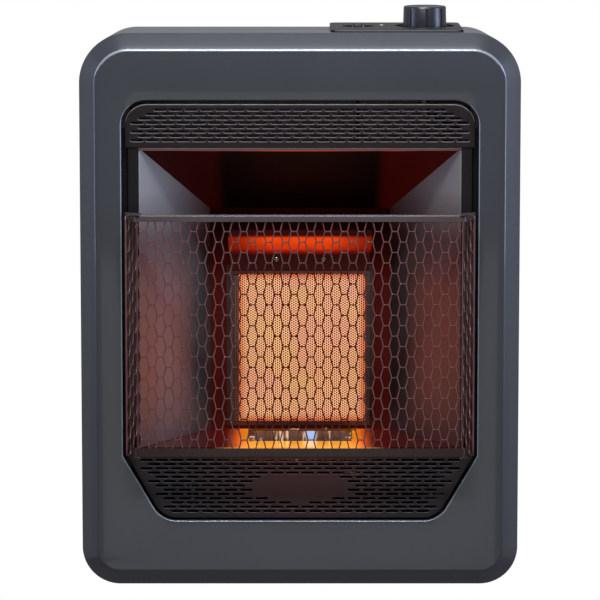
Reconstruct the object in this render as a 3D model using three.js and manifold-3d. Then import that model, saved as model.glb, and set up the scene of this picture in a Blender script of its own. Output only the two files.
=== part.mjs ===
// Wall mounted gas heater: a pressed bezel on a shallow cabinet, a ceramic plaque burner in a
// polished firebox, a folded mesh guard, slotted louvre panels and top-mounted controls.
// Millimetres, +Z up, the front looks along -Y, the wall is the plane y = 0.
import * as THREE from 'three';
import { mergeVertices } from 'three/addons/utils/BufferGeometryUtils.js';
import Module from 'manifold-3d';

const wasm = await Module();
wasm.setup();

// ---------------------------------------------------------------- driving dimensions
const CLEAR = 0.3;                 // gap between neighbours that touch
const SHEET = 1.2;                 // casing and bezel steel
const THIN = 0.8;                  // firebox and guard steel

const FACE_DISTANCE = 200;         // wall to the front face of the bezel
const HANG_HEIGHT = 440;           // bottom of the bezel to the keyholes, where the origin lies

const BEZEL_WIDTH = 425;
const BEZEL_HEIGHT = 538;
const BEZEL_TOP_RADIUS = 48;
const BEZEL_BOTTOM_RADIUS = 37;
const BEVEL = 16;                  // both the width and the depth of the sloping rim
const EDGE_ROUND = 2.4;            // length of the rounded edge between rim and face
const BEZEL_RETURN = 12;           // rear flange turned inwards

const OPENING_HALF = 171.4;        // bezel opening: straight sides
const OPENING_TOP = 473.8;
const OPENING_BOTTOM = 65.7;
const OPENING_BOTTOM_HALF = 134.4; // where the diagonals would meet the bottom edge
const KNEE_HEIGHT = 129;           // where the diagonals start
const OPENING_TOP_RADIUS = 24;
const OPENING_BOTTOM_RADIUS = 20;
const KNEE_RADIUS = 5;
const OPENING_FLANGE = 8;          // depth of the turned edge round the opening

const CASE_WIDTH = 418;
const CASE_BASE = 3.5;             // height of the cabinet's underside
const CASE_TOP_RADIUS = 43;
const CASE_BOTTOM_RADIUS = 34;
const CASE_FLANGE = 45;            // front flange that carries the bezel and the posts
const BACK_FLANGE = 14;            // flanges of the back plate, turned forwards
const SCREW_HEIGHTS = [90, 400];   // screws through the cabinet's sides into those flanges
const SCREW_HOLE = 2.1;
const AIR_SLOT_BASE = 12;          // air slots low in the back plate
const AIR_SLOT_HEIGHT = 8;

const PANEL_DEPTH = 3.5;           // louvre panels behind the bezel face
const PANEL_MARGIN = 3.3;          // shadow gap round the louvre panels
const PANEL_RIM = 5;               // depth of the louvre panels' turned edges
const UPPER_PANEL_BOTTOM = 428;
const LOWER_PANEL_TOP = 131;
const SLOT_LENGTH = 12;
const SLOT_HEIGHT = 3.2;
const SLOT_PITCH = 14.9;
const UPPER_ROW_TOP = 463.8;
const UPPER_ROW_PITCH = 7;
const UPPER_ROW_COUNTS = [20, 21, 22, 21, 22];
const LOWER_ROW_TOP = 123.6;
const LOWER_ROW_PITCH = 6.8;
const LOWER_ROW_COUNTS = [21, 20, 19, 20, 19, 18, 17, 18];
const BARE_HALF_WIDTH = 45;        // oval without slots in the middle of the lower panel
const BARE_HALF_HEIGHT = 14.5;
const BARE_HEIGHT = 97;

const POST_INNER = 155;            // posts beside the firebox
const POST_OUTER = 166;
const POST_FOOT = 11;
const POST_BASE = 124;
const POST_TOP = 447;
const FRAME_DEPTH = 17.5;          // front plane of the cabinet's flange, behind the bezel face

const GUARD_REACH = 28;            // how far the guard stands in front of the bezel face
const GUARD_FRONT_HALF = 158;
const GUARD_BACK_HALF = 169.5;
const GUARD_BASE = 132.4;
const GUARD_TOP = 368.2;
const GUARD_TOP_RAIL = 8;
const GUARD_BOTTOM_RAIL = 9;
const GUARD_LEDGE = 9;             // rail flanges turned backwards
const GUARD_FOOT = 12;             // flanges that lie on the posts
const GUARD_STILE = 6;
const MESH_THICKNESS = 1;
const MESH_STRAND = 1.4;
const MESH_COLUMN = 15.5;          // spacing of neighbouring columns of cells
const MESH_ROW = 37.8;             // height of a cell
const MESH_BAR = 10.6;             // short level side of a cell
const MESH_BORDER = 3;

const FIREBOX_FRONT_HALF = 154.5;
const FIREBOX_BACK_HALF = 90.5;
const FIREBOX_DEPTH = 120;         // bezel face to the firebox's back wall
const FLOOR_HEIGHT = 136;
const HOOD_FRONT_HEIGHT = 425.5;
const HOOD_BACK_HEIGHT = 360;
const HOOD_DEPTH = 10.3;           // where the hood's slope starts
const REFLECTOR_FLANGE = 7.5;
const REFLECTOR_REAR_FLANGE = 13;
const SEAT_OVERLAP = 3;            // hood and floor past the reflectors' edges
const BACK_WALL_HALF = 106;
const BACK_WALL_BASE = 120;
const BACK_WALL_TOP = 372;

const PLAQUE_WIDTH = 133;
const PLAQUE_HEIGHT = 149;
const PLAQUE_THICKNESS = 12.9;
const PLAQUE_CENTRE = 221;         // height of the plaque's middle
const PLAQUE_DEPTH = 100.1;
const GASKET = 1.6;
const PLAQUE_LIP = 3;
const PLENUM_REAR = 150;
const PLENUM_FLANGE = 9;

const CLAMP_HEIGHT = 19.2;
const CLAMP_SCREW_SPACING = 47;
const BAFFLE_HALF = 71;
const BAFFLE_FOOT = 19;
const BAFFLE_REACH = 16;
const BAFFLE_RISE = 17;
const BAFFLE_LIP = 6;

const PILOT_CUT_LEFT = -50;        // notch in the floor for the pilot
const PILOT_CUT_RIGHT = 51;
const PILOT_CUT_FRONT = 47;
const PILOT_CUT_REAR = 101;
const PILOT_DEPTH = 80;            // centre line of the pilot's pieces
const PILOT_X = 11;
const ELECTRODE_X = -14;
const THERMOCOUPLE_X = 26;
const BRACKET_FRONT = 58;
const BRACKET_REAR = 98;
const BRACKET_FLOOR = 126;
const BRACKET_HALF = 46;
const BRACKET_LIP = 144;

const VENTURI_RADIUS = 12;
const VENTURI_HEIGHT = 170;
const VENTURI_LEFT = -40;
const VENTURI_RIGHT = 92;
const HOLDER_LEFT = 97.5;
const HOLDER_LENGTH = 22;
const HOLDER_SIZE = 9;

const CONTROL_TILT = THREE.MathUtils.degToRad(2.3);
const PLATE_LEFT = 29.5;
const PLATE_RIGHT = 158;
const PLATE_FRONT = 25;            // behind the bezel face
const PLATE_LENGTH = 105;
const PLATE_HEIGHT = 540.3;        // its front edge
const PLATE_RADIUS = 7;
const PLATE_NOTCH = 2.6;
const KNOB_X = 122.4;
const KNOB_BACK = 60;              // from the plate's front edge
const KNOB_RADIUS = 21.25;
const KNOB_HEIGHT = 20.3;
const KNOB_BASE = -1;
const KNOB_HOLE_RADIUS = 29;
const KNOB_GROOVES = 8;
const IGNITER_X = 56.9;
const IGNITER_BACK = 55;
const IGNITER_HOLE_RADIUS = 15.6;
const BUTTON_RADIUS = 9;
const BUTTON_TOP = 1.6;
const BUTTON_TRAVEL = 6;
const TRAY_DEPTH = 18.2;           // control bracket below the plate
const STEM_RADIUS = 3;
const VALVE_WIDTH = 46;
const VALVE_LENGTH = 44;
const VALVE_HEIGHT = 41;
const ROTOR_RADIUS = 8;

const REGULATOR_X = CASE_WIDTH / 2 - 59;
const REGULATOR_Y = -50;
const REGULATOR_BASE = 45;
const REGULATOR_RADIUS = 28;
const INLET_RADIUS = 8;
const INLET_DROP = 12;             // inlet's end below the bezel

const SIDE_RUN = CASE_WIDTH / 2 - 13; // pipes that climb beside the firebox

const KEYHOLE_SPACING = 300;
const SHIELD_HALF = 172;           // heat shield in front of the keyholes
const SHIELD_BELOW = 72;
const SHIELD_ABOVE = 54;
const SHIELD_STAND = 18;
const SHIELD_FLANGE = 12;
const ROUND = 3;                   // half the steps in one arc

// ---------------------------------------------------------------- geometry helpers
const at = (depth) => depth - FACE_DISTANCE;
const point = (x, y) => new THREE.Vector2(x, y);
const node = (x, depth, z) => new THREE.Vector3(x, at(depth), z);

// A closed geometry as a solid with its faces pointing out
function solid(geometry) {
  const plain = geometry.index ? geometry.clone() : geometry;
  for (const name of Object.keys(plain.attributes)) {
    if (name !== 'position') plain.deleteAttribute(name);
  }
  const merged = mergeVertices(plain, 1e-4);
  const place = merged.attributes.position;
  const corners = Array.from(merged.index.array);
  const triangles = [];
  for (let i = 0; i < corners.length; i += 3) {
    const [a, b, c] = corners.slice(i, i + 3);
    if (a !== b && b !== c && c !== a) triangles.push(a, b, c);
  }
  const corner = [0, 1, 2].map(() => new THREE.Vector3());
  let volume = 0;
  for (let i = 0; i < triangles.length; i += 3) {
    corner.forEach((c, k) => c.fromBufferAttribute(place, triangles[i + k]));
    volume += corner[0].dot(corner[1].cross(corner[2]));
  }
  if (volume < 0) {
    for (let i = 0; i < triangles.length; i += 3) {
      [triangles[i], triangles[i + 1]] = [triangles[i + 1], triangles[i]];
    }
  }
  const vertProperties = Float32Array.from(place.array);
  const triVerts = Uint32Array.from(triangles);
  return new wasm.Manifold(new wasm.Mesh({ numProp: 3, vertProperties, triVerts }));
}

function join(...pieces) {
  return wasm.Manifold.union(pieces);
}

function cut(piece, ...tools) {
  return piece.subtract(wasm.Manifold.union(tools));
}

function extrude(shape, depth) {
  return new THREE.ExtrudeGeometry(shape, { depth, bevelEnabled: false, curveSegments: ROUND });
}

// Shapes drawn in plan (x, y), in elevation (x, z) or from the side (y, z)
function alongZ(shape, low, high) {
  return solid(extrude(shape, high - low).translate(0, 0, low));
}

function alongY(shape, front, rear) {
  return solid(extrude(shape, rear - front).rotateX(Math.PI / 2).translate(0, rear, 0));
}

function alongX(shape, left, right) {
  const turn = new THREE.Matrix4().makeBasis(
    new THREE.Vector3(0, 1, 0), new THREE.Vector3(0, 0, 1), new THREE.Vector3(1, 0, 0));
  return solid(extrude(shape, right - left).applyMatrix4(turn).translate(left, 0, 0));
}

function rectangle(left, right, low, high) {
  return new THREE.Shape([point(left, low), point(right, low), point(right, high), point(left, high)]);
}

function block(left, right, front, rear, low, high) {
  return alongZ(rectangle(left, right, front, rear), low, high);
}

function disc(x, y, radius, arcs = 2) {
  const shape = new THREE.Shape();
  for (let i = 0; i < arcs; i += 1) {
    shape.absarc(x, y, radius, (2 * Math.PI * i) / arcs, (2 * Math.PI * (i + 1)) / arcs, false);
  }
  return shape;
}

// A revolved profile of [radius, height] pairs, standing on Z
function turned(profile, segments = 12) {
  const points = profile.map(([radius, height]) => point(radius, height));
  return solid(new THREE.LatheGeometry(points, segments).rotateX(Math.PI / 2));
}

// The same, lying along X
function turnedX(profile, segments = 12) {
  const points = profile.map(([radius, height]) => point(radius, height));
  return solid(new THREE.LatheGeometry(points, segments).rotateZ(-Math.PI / 2));
}

// Corners of a convex outline moved outwards by grow, in the same order (anticlockwise)
function grown(corners, grow) {
  return corners.map((here, i) => {
    const before = corners[(i + corners.length - 1) % corners.length];
    const after = corners[(i + 1) % corners.length];
    const a = point(here.y - before.y, before.x - here.x).normalize();
    const b = point(after.y - here.y, here.x - after.x).normalize();
    return here.clone().addScaledVector(a.clone().add(b), grow / (1 + a.dot(b)));
  });
}

// A convex outline with its corners rounded
function rounded(corners, radii) {
  const shape = new THREE.Shape();
  corners.forEach((here, i) => {
    const before = corners[(i + corners.length - 1) % corners.length];
    const after = corners[(i + 1) % corners.length];
    const a = before.clone().sub(here).normalize();
    const b = after.clone().sub(here).normalize();
    const radius = radii[i];
    if (radius <= 0) {
      if (i === 0) shape.moveTo(here.x, here.y);
      else shape.lineTo(here.x, here.y);
      return;
    }
    const half = Math.acos(a.dot(b)) / 2;
    const start = here.clone().addScaledVector(a, radius / Math.tan(half));
    const centre = here.clone().addScaledVector(a.clone().add(b).normalize(), radius / Math.sin(half));
    const first = Math.atan2(start.y - centre.y, start.x - centre.x);
    if (i === 0) shape.moveTo(start.x, start.y);
    else shape.lineTo(start.x, start.y);
    shape.absarc(centre.x, centre.y, radius, first, first + Math.PI - 2 * half, false);
  });
  return shape;
}

// A bent strip of sheet: the path is one face, the thickness lies to its left (or right if below 0)
function folded(path, thickness) {
  const normal = (a, b) => point(a.y - b.y, b.x - a.x).normalize();
  const other = path.map((here, i) => {
    const a = normal(path[Math.max(i - 1, 0)], path[Math.max(i, 1)]);
    const last = path.length - 1;
    const b = normal(path[Math.min(i, last - 1)], path[Math.min(i + 1, last)]);
    return here.clone().addScaledVector(a.clone().add(b), thickness / (1 + a.dot(b)));
  });
  return new THREE.Shape([...path, ...other.reverse()]);
}

// Sections of equal point count, joined front to back
function loft(sections) {
  const rings = sections.map(({ shape }) => shape.getPoints(ROUND));
  rings.forEach((ring) => {
    if (ring[0].distanceTo(ring[ring.length - 1]) < 1e-6) ring.pop();
  });
  const count = rings[0].length;
  const positions = rings.flatMap((ring, i) => ring.flatMap((p) => [p.x, sections[i].y, p.y]));
  const index = [];
  for (let i = 0; i + 1 < rings.length; i += 1) {
    for (let k = 0; k < count; k += 1) {
      const a = i * count + k;
      const b = i * count + (k + 1) % count;
      index.push(a, b, b + count, a, b + count, a + count);
    }
  }
  const cap = THREE.ShapeUtils.triangulateShape(rings[0], []);
  const end = (rings.length - 1) * count;
  cap.forEach(([a, b, c]) => index.push(a, c, b, end + a, end + b, end + c));
  const geometry = new THREE.BufferGeometry();
  geometry.setAttribute('position', new THREE.Float32BufferAttribute(positions, 3));
  geometry.setIndex(index);
  return solid(geometry);
}

// A pipe or wire along a smooth route
function pipe(points, radius, steps = 24, sides = 6) {
  const section = new THREE.Shape();
  for (let i = 0; i < sides; i += 1) {
    const angle = (2 * Math.PI * i) / sides;
    const [x, y] = [radius * Math.cos(angle), radius * Math.sin(angle)];
    if (i === 0) section.moveTo(x, y);
    else section.lineTo(x, y);
  }
  section.closePath();
  const extrudePath = new THREE.CatmullRomCurve3(points, false, 'centripetal');
  return solid(new THREE.ExtrudeGeometry(section, { steps, extrudePath, bevelEnabled: false }));
}

// ---------------------------------------------------------------- materials
const paint = (color, roughness, metalness) => new THREE.MeshStandardMaterial({ color, roughness, metalness });
const MATERIALS = {
  slate: paint(0x4a4d52, 0.45, 0.2),
  casing: paint(0x6b6c70, 0.5, 0.3),
  black: paint(0x2a2626, 0.5, 0.1),
  guard: paint(0x3a3433, 0.5, 0.3),
  polished: paint(0x8a8d90, 0.25, 0.9),
  darkSteel: paint(0x2a1513, 0.5, 0.5),
  galvanised: paint(0x9da1a4, 0.5, 0.7),
  ceramic: paint(0xf2a45c, 0.9, 0),
  white: paint(0xe8e4da, 0.4, 0),
  felt: paint(0xd8d4c8, 0.95, 0),
  plate: paint(0x55504e, 0.5, 0.2),
  plastic: paint(0x1b1b1f, 0.4, 0),
  castAlloy: paint(0xa8abad, 0.5, 0.8),
  brass: paint(0xb5934a, 0.35, 0.9),
  pipe: paint(0xb8babb, 0.35, 0.9),
  rubber: paint(0x4a2a22, 0.7, 0),
};

const heater = new THREE.Group();
heater.position.z = -HANG_HEIGHT;
const controls = new THREE.Group();
controls.position.set(0, at(PLATE_FRONT), PLATE_HEIGHT);
controls.rotation.x = CONTROL_TILT;
heater.add(controls);

function add(name, piece, material, group = heater) {
  const mesh = piece.getMesh();
  const geometry = new THREE.BufferGeometry();
  geometry.setAttribute('position', new THREE.BufferAttribute(new Float32Array(mesh.vertProperties), 3));
  geometry.setIndex(new THREE.BufferAttribute(new Uint32Array(mesh.triVerts), 1));
  geometry.computeVertexNormals();
  const part = new THREE.Mesh(geometry, MATERIALS[material]);
  part.name = name;
  group.add(part);
}

const SIDES = [['left', -1], ['right', 1]];
const mirrored = (piece, side) => (side > 0 ? piece : piece.mirror([1, 0, 0]));

// A point of the tilted control group in the heater's frame
function fromControls(x, back, up) {
  controls.updateMatrix();
  return new THREE.Vector3(x, back, up).applyMatrix4(controls.matrix);
}

// ---------------------------------------------------------------- cabinet
function bezelOutline(inset) {
  const half = BEZEL_WIDTH / 2;
  const corners = [point(-half, 0), point(half, 0), point(half, BEZEL_HEIGHT), point(-half, BEZEL_HEIGHT)];
  const bottom = BEZEL_BOTTOM_RADIUS - inset;
  const top = BEZEL_TOP_RADIUS - inset;
  return rounded(grown(corners, -inset), [bottom, bottom, top, top]);
}

const OPENING_CORNERS = [
  point(-OPENING_BOTTOM_HALF, OPENING_BOTTOM), point(OPENING_BOTTOM_HALF, OPENING_BOTTOM),
  point(OPENING_HALF, KNEE_HEIGHT), point(OPENING_HALF, OPENING_TOP),
  point(-OPENING_HALF, OPENING_TOP), point(-OPENING_HALF, KNEE_HEIGHT),
];

function openingOutline(grow) {
  const bottom = OPENING_BOTTOM_RADIUS + grow;
  const knee = KNEE_RADIUS + grow;
  const top = OPENING_TOP_RADIUS + grow;
  return rounded(grown(OPENING_CORNERS, grow), [bottom, bottom, knee, top, top, knee]);
}

function caseOutline(inset) {
  const half = CASE_WIDTH / 2;
  const corners = [
    point(-half, CASE_BASE), point(half, CASE_BASE), point(half, BEZEL_HEIGHT), point(-half, BEZEL_HEIGHT),
  ];
  const bottom = Math.max(CASE_BOTTOM_RADIUS - inset, 4);
  const top = Math.max(CASE_TOP_RADIUS - inset, 4);
  return rounded(grown(corners, -inset), [bottom, bottom, top, top]);
}

// Pressed dish: sloping rim, face, rear flange and a turned edge round the opening
function frontBezel() {
  const rear = BEVEL + SHEET;
  const chamfer = EDGE_ROUND * Math.SQRT1_2;
  const outer = loft([
    { shape: bezelOutline(BEVEL + EDGE_ROUND), y: at(0) },
    { shape: bezelOutline(BEVEL + 0.15 * EDGE_ROUND), y: at(0.15 * EDGE_ROUND) },
    { shape: bezelOutline(BEVEL - chamfer), y: at(chamfer) },
    { shape: bezelOutline(0), y: at(BEVEL) },
    { shape: bezelOutline(0), y: at(rear) },
  ]);
  const inner = loft([
    { shape: bezelOutline(BEVEL + SHEET / 2), y: at(SHEET) },
    { shape: bezelOutline(SHEET * Math.SQRT2), y: at(BEVEL) },
  ]);
  const flangeHole = alongY(bezelOutline(BEZEL_RETURN), at(BEVEL - 1), at(rear + 1));
  const lip = alongY(openingOutline(SHEET), at(SHEET / 2), at(OPENING_FLANGE));
  const hole = alongY(openingOutline(0), at(-1), at(OPENING_FLANGE + 1));
  return cut(join(cut(outer, inner, flangeHole), lip), hole);
}

function slotRow(count, height, keep) {
  const slots = [];
  for (let i = 0; i < count; i += 1) {
    const x = (i - (count - 1) / 2) * SLOT_PITCH;
    if (keep(x, height)) {
      slots.push(rectangle(x - SLOT_LENGTH / 2, x + SLOT_LENGTH / 2,
        height - SLOT_HEIGHT / 2, height + SLOT_HEIGHT / 2));
    }
  }
  return slots;
}

// A slotted plate with its edges turned back and notched where they pass the posts
function louvrePanel(corners, radii, rows) {
  const outline = rounded(corners, radii);
  const rim = alongY(outline, at(PANEL_DEPTH), at(PANEL_DEPTH + PANEL_RIM));
  const inside = rounded(grown(corners, -SHEET), radii.map((r) => Math.max(r - SHEET, 0)));
  const hollow = alongY(inside, at(PANEL_DEPTH + SHEET), at(PANEL_DEPTH + PANEL_RIM + 1));
  const slots = rows.flat().map((slot) => alongY(slot, at(PANEL_DEPTH - 1), at(PANEL_DEPTH + SHEET + 1)));
  const notches = SIDES.map(([, side]) => mirrored(block(POST_INNER - CLEAR, POST_OUTER + CLEAR,
    at(PANEL_DEPTH + SHEET), at(PANEL_DEPTH + PANEL_RIM + 1), POST_BASE - CLEAR, POST_TOP + CLEAR), side));
  return cut(rim, hollow, ...notches, ...slots);
}

function upperLouvre() {
  const edge = grown(OPENING_CORNERS, -PANEL_MARGIN);
  const [right, left] = [edge[3], edge[4]];
  const corners = [point(left.x, UPPER_PANEL_BOTTOM), point(right.x, UPPER_PANEL_BOTTOM), right, left];
  const top = OPENING_TOP_RADIUS - PANEL_MARGIN;
  const rows = UPPER_ROW_COUNTS.map((count, i) =>
    slotRow(count, UPPER_ROW_TOP - i * UPPER_ROW_PITCH, () => true));
  return louvrePanel(corners, [0, 0, top, top], rows);
}

function lowerLouvre() {
  const edge = grown(OPENING_CORNERS, -PANEL_MARGIN);
  const corners = [
    edge[0], edge[1], edge[2], point(edge[2].x, LOWER_PANEL_TOP), point(edge[5].x, LOWER_PANEL_TOP), edge[5],
  ];
  const bottom = OPENING_BOTTOM_RADIUS - PANEL_MARGIN;
  const reach = BARE_HALF_WIDTH + SLOT_LENGTH / 2;
  const bare = (x, z) => Math.hypot(x / reach, (z - BARE_HEIGHT) / BARE_HALF_HEIGHT) > 1;
  const rows = LOWER_ROW_COUNTS.map((count, i) =>
    slotRow(count, LOWER_ROW_TOP - i * LOWER_ROW_PITCH, bare));
  return louvrePanel(corners, [bottom, bottom, 2, 0, 0, 2], rows);
}

// Wrapped casing with a broad front flange, a control cut-out, an inlet hole and air slots below
function cabinetShell() {
  const wrap = cut(
    alongY(caseOutline(0), at(FRAME_DEPTH), 0),
    alongY(caseOutline(SHEET), at(FRAME_DEPTH + SHEET), 1),
    alongY(caseOutline(CASE_FLANGE), at(FRAME_DEPTH - 1), at(FRAME_DEPTH + SHEET + 1)),
  );
  const controlHole = block(PLATE_LEFT + 3, PLATE_RIGHT - 3,
    at(PLATE_FRONT + 3), at(PLATE_FRONT + PLATE_LENGTH - 3), BEZEL_HEIGHT - 5, BEZEL_HEIGHT + 5);
  const inletHole = alongZ(disc(REGULATOR_X, REGULATOR_Y, INLET_RADIUS + 5), CASE_BASE - 2, CASE_BASE + 3);
  const screwHoles = SIDES.flatMap(([, side]) => SCREW_HEIGHTS.map((height) =>
    turnedX([[0, -5], [SCREW_HOLE, -5], [SCREW_HOLE, 5], [0, 5]], 10)
      .translate([side * CASE_WIDTH / 2, -BACK_FLANGE / 2, height])));
  const airSlots = [-1, 1].flatMap((row) => [-120, -70, -20, 30, 80].map((x) =>
    block(x, x + 38, at(100 + row * 14 - 3), at(100 + row * 14 + 3), CASE_BASE - 2, CASE_BASE + 3)));
  return cut(wrap, controlHole, inletHole, ...screwHoles, ...airSlots);
}

// Back plate with keyholes, turned forwards at both sides
function cabinetBack() {
  const outline = caseOutline(SHEET + CLEAR);
  const half = CASE_WIDTH / 2 - SHEET - CLEAR;
  const holes = [];
  for (const x of [-KEYHOLE_SPACING / 2, KEYHOLE_SPACING / 2]) {
    const hole = new THREE.Shape();
    const wide = Math.asin(3 / 6);
    hole.moveTo(x - 3, HANG_HEIGHT + 12);
    hole.lineTo(x - 3, HANG_HEIGHT + 6 * Math.cos(wide));
    hole.absarc(x, HANG_HEIGHT, 6, Math.PI / 2 + wide, 2.5 * Math.PI - wide, false);
    hole.lineTo(x + 3, HANG_HEIGHT + 12);
    hole.absarc(x, HANG_HEIGHT + 12, 3, 0, Math.PI, false);
    holes.push(alongY(hole, -SHEET - 1, 1));
  }
  for (const x of [-130, -75, -20, 35, 90]) {
    holes.push(block(x, x + 40, -SHEET - 1, 1, AIR_SLOT_BASE, AIR_SLOT_BASE + AIR_SLOT_HEIGHT));
  }
  const plate = cut(alongY(outline, -SHEET, 0), ...holes);
  const low = CASE_BASE + CASE_BOTTOM_RADIUS + 2;
  const high = BEZEL_HEIGHT - CASE_TOP_RADIUS - 2;
  const flanges = SIDES.map(([, side]) => mirrored(cut(
    block(half - SHEET, half, -BACK_FLANGE, -SHEET / 2, low, high),
    ...SCREW_HEIGHTS.map((height) => turnedX([[0, -5], [SCREW_HOLE, -5], [SCREW_HOLE, 5], [0, 5]], 10)
      .translate([half, -BACK_FLANGE / 2, height])),
  ), side));
  return join(plate, ...flanges);
}

function caseScrew() {
  return turnedX([[0, -7], [1.8, -7], [1.8, CLEAR], [3.6, CLEAR], [3.6, 1.2], [2.4, 2.1], [0, 2.1]], 8);
}

// Stands off the back plate on two flanges, so that the wall screws stay cool
function heatShield() {
  const foot = -SHEET - CLEAR;
  const low = HANG_HEIGHT - SHIELD_BELOW;
  const high = HANG_HEIGHT + SHIELD_ABOVE;
  const path = [
    point(foot, low), point(foot, low + SHIELD_FLANGE), point(-SHIELD_STAND, low + SHIELD_FLANGE),
    point(-SHIELD_STAND, high - SHIELD_FLANGE), point(foot, high - SHIELD_FLANGE), point(foot, high),
  ];
  return alongX(folded(path, THIN), -SHIELD_HALF, SHIELD_HALF);
}

// Z-section posts: face, web and a foot on the cabinet's flange
function post(side) {
  const foot = FRAME_DEPTH - CLEAR - SHEET;
  const face = PANEL_DEPTH + SHEET + CLEAR;
  const path = [
    point(POST_INNER, at(face)), point(POST_OUTER, at(face)),
    point(POST_OUTER, at(foot)), point(POST_OUTER + POST_FOOT, at(foot)),
  ];
  return mirrored(alongZ(folded(path, SHEET), POST_BASE, POST_TOP), side);
}

add('cabinet_shell', cabinetShell(), 'casing');
add('cabinet_back', cabinetBack(), 'galvanised');
add('heat_shield', heatShield(), 'galvanised');
let screwNumber = 0;
for (const [, side] of SIDES) {
  for (const height of SCREW_HEIGHTS) {
    screwNumber += 1;
    add(`case_screw_${screwNumber}`, mirrored(
      caseScrew().translate([CASE_WIDTH / 2, -BACK_FLANGE / 2, height]), side), 'galvanised');
  }
}
add('front_bezel', frontBezel(), 'slate');
add('upper_louvre_panel', upperLouvre(), 'black');
add('lower_louvre_panel', lowerLouvre(), 'black');
for (const [name, side] of SIDES) add(`${name}_post`, post(side), 'black');

// ---------------------------------------------------------------- guard
const GUARD_FOOT_DEPTH = PANEL_DEPTH + SHEET;               // feet rest on the posts

function guardPlan(footWidth) {
  return [
    point(-GUARD_BACK_HALF + footWidth, at(GUARD_FOOT_DEPTH)), point(-GUARD_BACK_HALF, at(GUARD_FOOT_DEPTH)),
    point(-GUARD_FRONT_HALF, at(-GUARD_REACH)), point(GUARD_FRONT_HALF, at(-GUARD_REACH)),
    point(GUARD_BACK_HALF, at(GUARD_FOOT_DEPTH)), point(GUARD_BACK_HALF - footWidth, at(GUARD_FOOT_DEPTH)),
  ];
}

// Rails folded round the front and the slanted sides, with stiles that lie on the posts
function guardFrame() {
  const plan = guardPlan(GUARD_FOOT);
  const band = folded(plan, SHEET);
  const wing = plan[2].clone().sub(plan[1]).setLength(GUARD_STILE);
  const stileEnd = plan[1].clone().add(wing);
  const ledge = folded([stileEnd, plan[2], plan[3], point(-stileEnd.x, stileEnd.y)], GUARD_LEDGE);
  const stilePlan = [plan[0], plan[1], stileEnd];
  const stile = alongZ(folded(stilePlan, SHEET), GUARD_BASE, GUARD_TOP);
  return join(
    alongZ(band, GUARD_TOP - GUARD_TOP_RAIL, GUARD_TOP),
    alongZ(ledge, GUARD_TOP - SHEET, GUARD_TOP),
    alongZ(band, GUARD_BASE, GUARD_BASE + GUARD_BOTTOM_RAIL),
    alongZ(ledge, GUARD_BASE, GUARD_BASE + SHEET),
    stile, stile.mirror([1, 0, 0]),
  );
}

// Part of a polygon above, below, left or right of a line
function clipped(polygon, inside, crossing) {
  return polygon.flatMap((here, i) => {
    const before = polygon[(i + polygon.length - 1) % polygon.length];
    const kept = inside(here) ? [here] : [];
    return inside(here) === inside(before) ? kept : [crossing(before, here), ...kept];
  });
}

function clippedTo(polygon, left, right, low, high) {
  const atX = (x) => (a, b) => a.clone().lerp(b, (x - a.x) / (b.x - a.x));
  const atY = (y) => (a, b) => a.clone().lerp(b, (y - a.y) / (b.y - a.y));
  let rest = clipped(polygon, (p) => p.x > left, atX(left));
  rest = clipped(rest, (p) => p.x < right, atX(right));
  rest = clipped(rest, (p) => p.y > low, atY(low));
  return clipped(rest, (p) => p.y < high, atY(high));
}

// Expanded metal: tall six-sided cells in staggered columns, cut off at the border
function meshPanel(width, low, high) {
  const half = width / 2;
  const cells = [];
  const waist = MESH_COLUMN - MESH_BAR / 2;
  const columns = Math.ceil(half / MESH_COLUMN) + 1;
  const rows = Math.ceil((high - low) / MESH_ROW) + 1;
  for (let column = -columns; column <= columns; column += 1) {
    for (let row = -1; row <= rows; row += 1) {
      const x = column * MESH_COLUMN;
      const z = low + (row + (column % 2 === 0 ? 0 : 0.5)) * MESH_ROW;
      const cell = [
        point(x - waist, z),
        point(x - MESH_BAR / 2, z - MESH_ROW / 2), point(x + MESH_BAR / 2, z - MESH_ROW / 2),
        point(x + waist, z),
        point(x + MESH_BAR / 2, z + MESH_ROW / 2), point(x - MESH_BAR / 2, z + MESH_ROW / 2),
      ];
      const hole = clippedTo(grown(cell, -MESH_STRAND / 2), -half + MESH_BORDER, half - MESH_BORDER,
        low + MESH_BORDER, high - MESH_BORDER);
      if (hole.length > 2 && Math.abs(THREE.ShapeUtils.area(hole)) > MESH_BAR) {
        cells.push(alongY(new THREE.Shape(hole), -MESH_THICKNESS - 1, 1));
      }
    }
  }
  return cut(alongY(rectangle(-half, half, low, high), -MESH_THICKNESS, 0), ...cells);
}

const MESH_LOW = GUARD_BASE + SHEET + CLEAR;
const MESH_HIGH = GUARD_TOP - SHEET - CLEAR;

// The side panels lie behind the slanted part of the rails
function sideMesh(side) {
  const [, rear, front] = guardPlan(0).map((p) => point(-p.x, p.y));
  const along = rear.clone().sub(front);
  const inset = SHEET + CLEAR;
  const width = along.length() - GUARD_STILE - 3 * inset;
  const angle = Math.atan2(along.y, along.x);
  const middle = front.clone().addScaledVector(along.clone().normalize(), 2 * inset + width / 2);
  const inward = point(along.y, -along.x).normalize().multiplyScalar(-inset - MESH_THICKNESS);
  const panel = meshPanel(width, MESH_LOW, MESH_HIGH)
    .translate([0, MESH_THICKNESS, 0])
    .rotate([0, 0, THREE.MathUtils.radToDeg(angle)])
    .translate([middle.x + inward.x, middle.y + inward.y, 0]);
  return mirrored(panel, side);
}

add('guard_frame', guardFrame(), 'guard');
add('guard_mesh_front', meshPanel(2 * (GUARD_FRONT_HALF - 2 * SHEET - 2 * CLEAR), MESH_LOW, MESH_HIGH)
  .translate([0, at(-GUARD_REACH + SHEET + CLEAR + MESH_THICKNESS), 0]), 'guard');
for (const [name, side] of SIDES) add(`guard_mesh_${name}`, sideMesh(side), 'guard');

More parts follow.
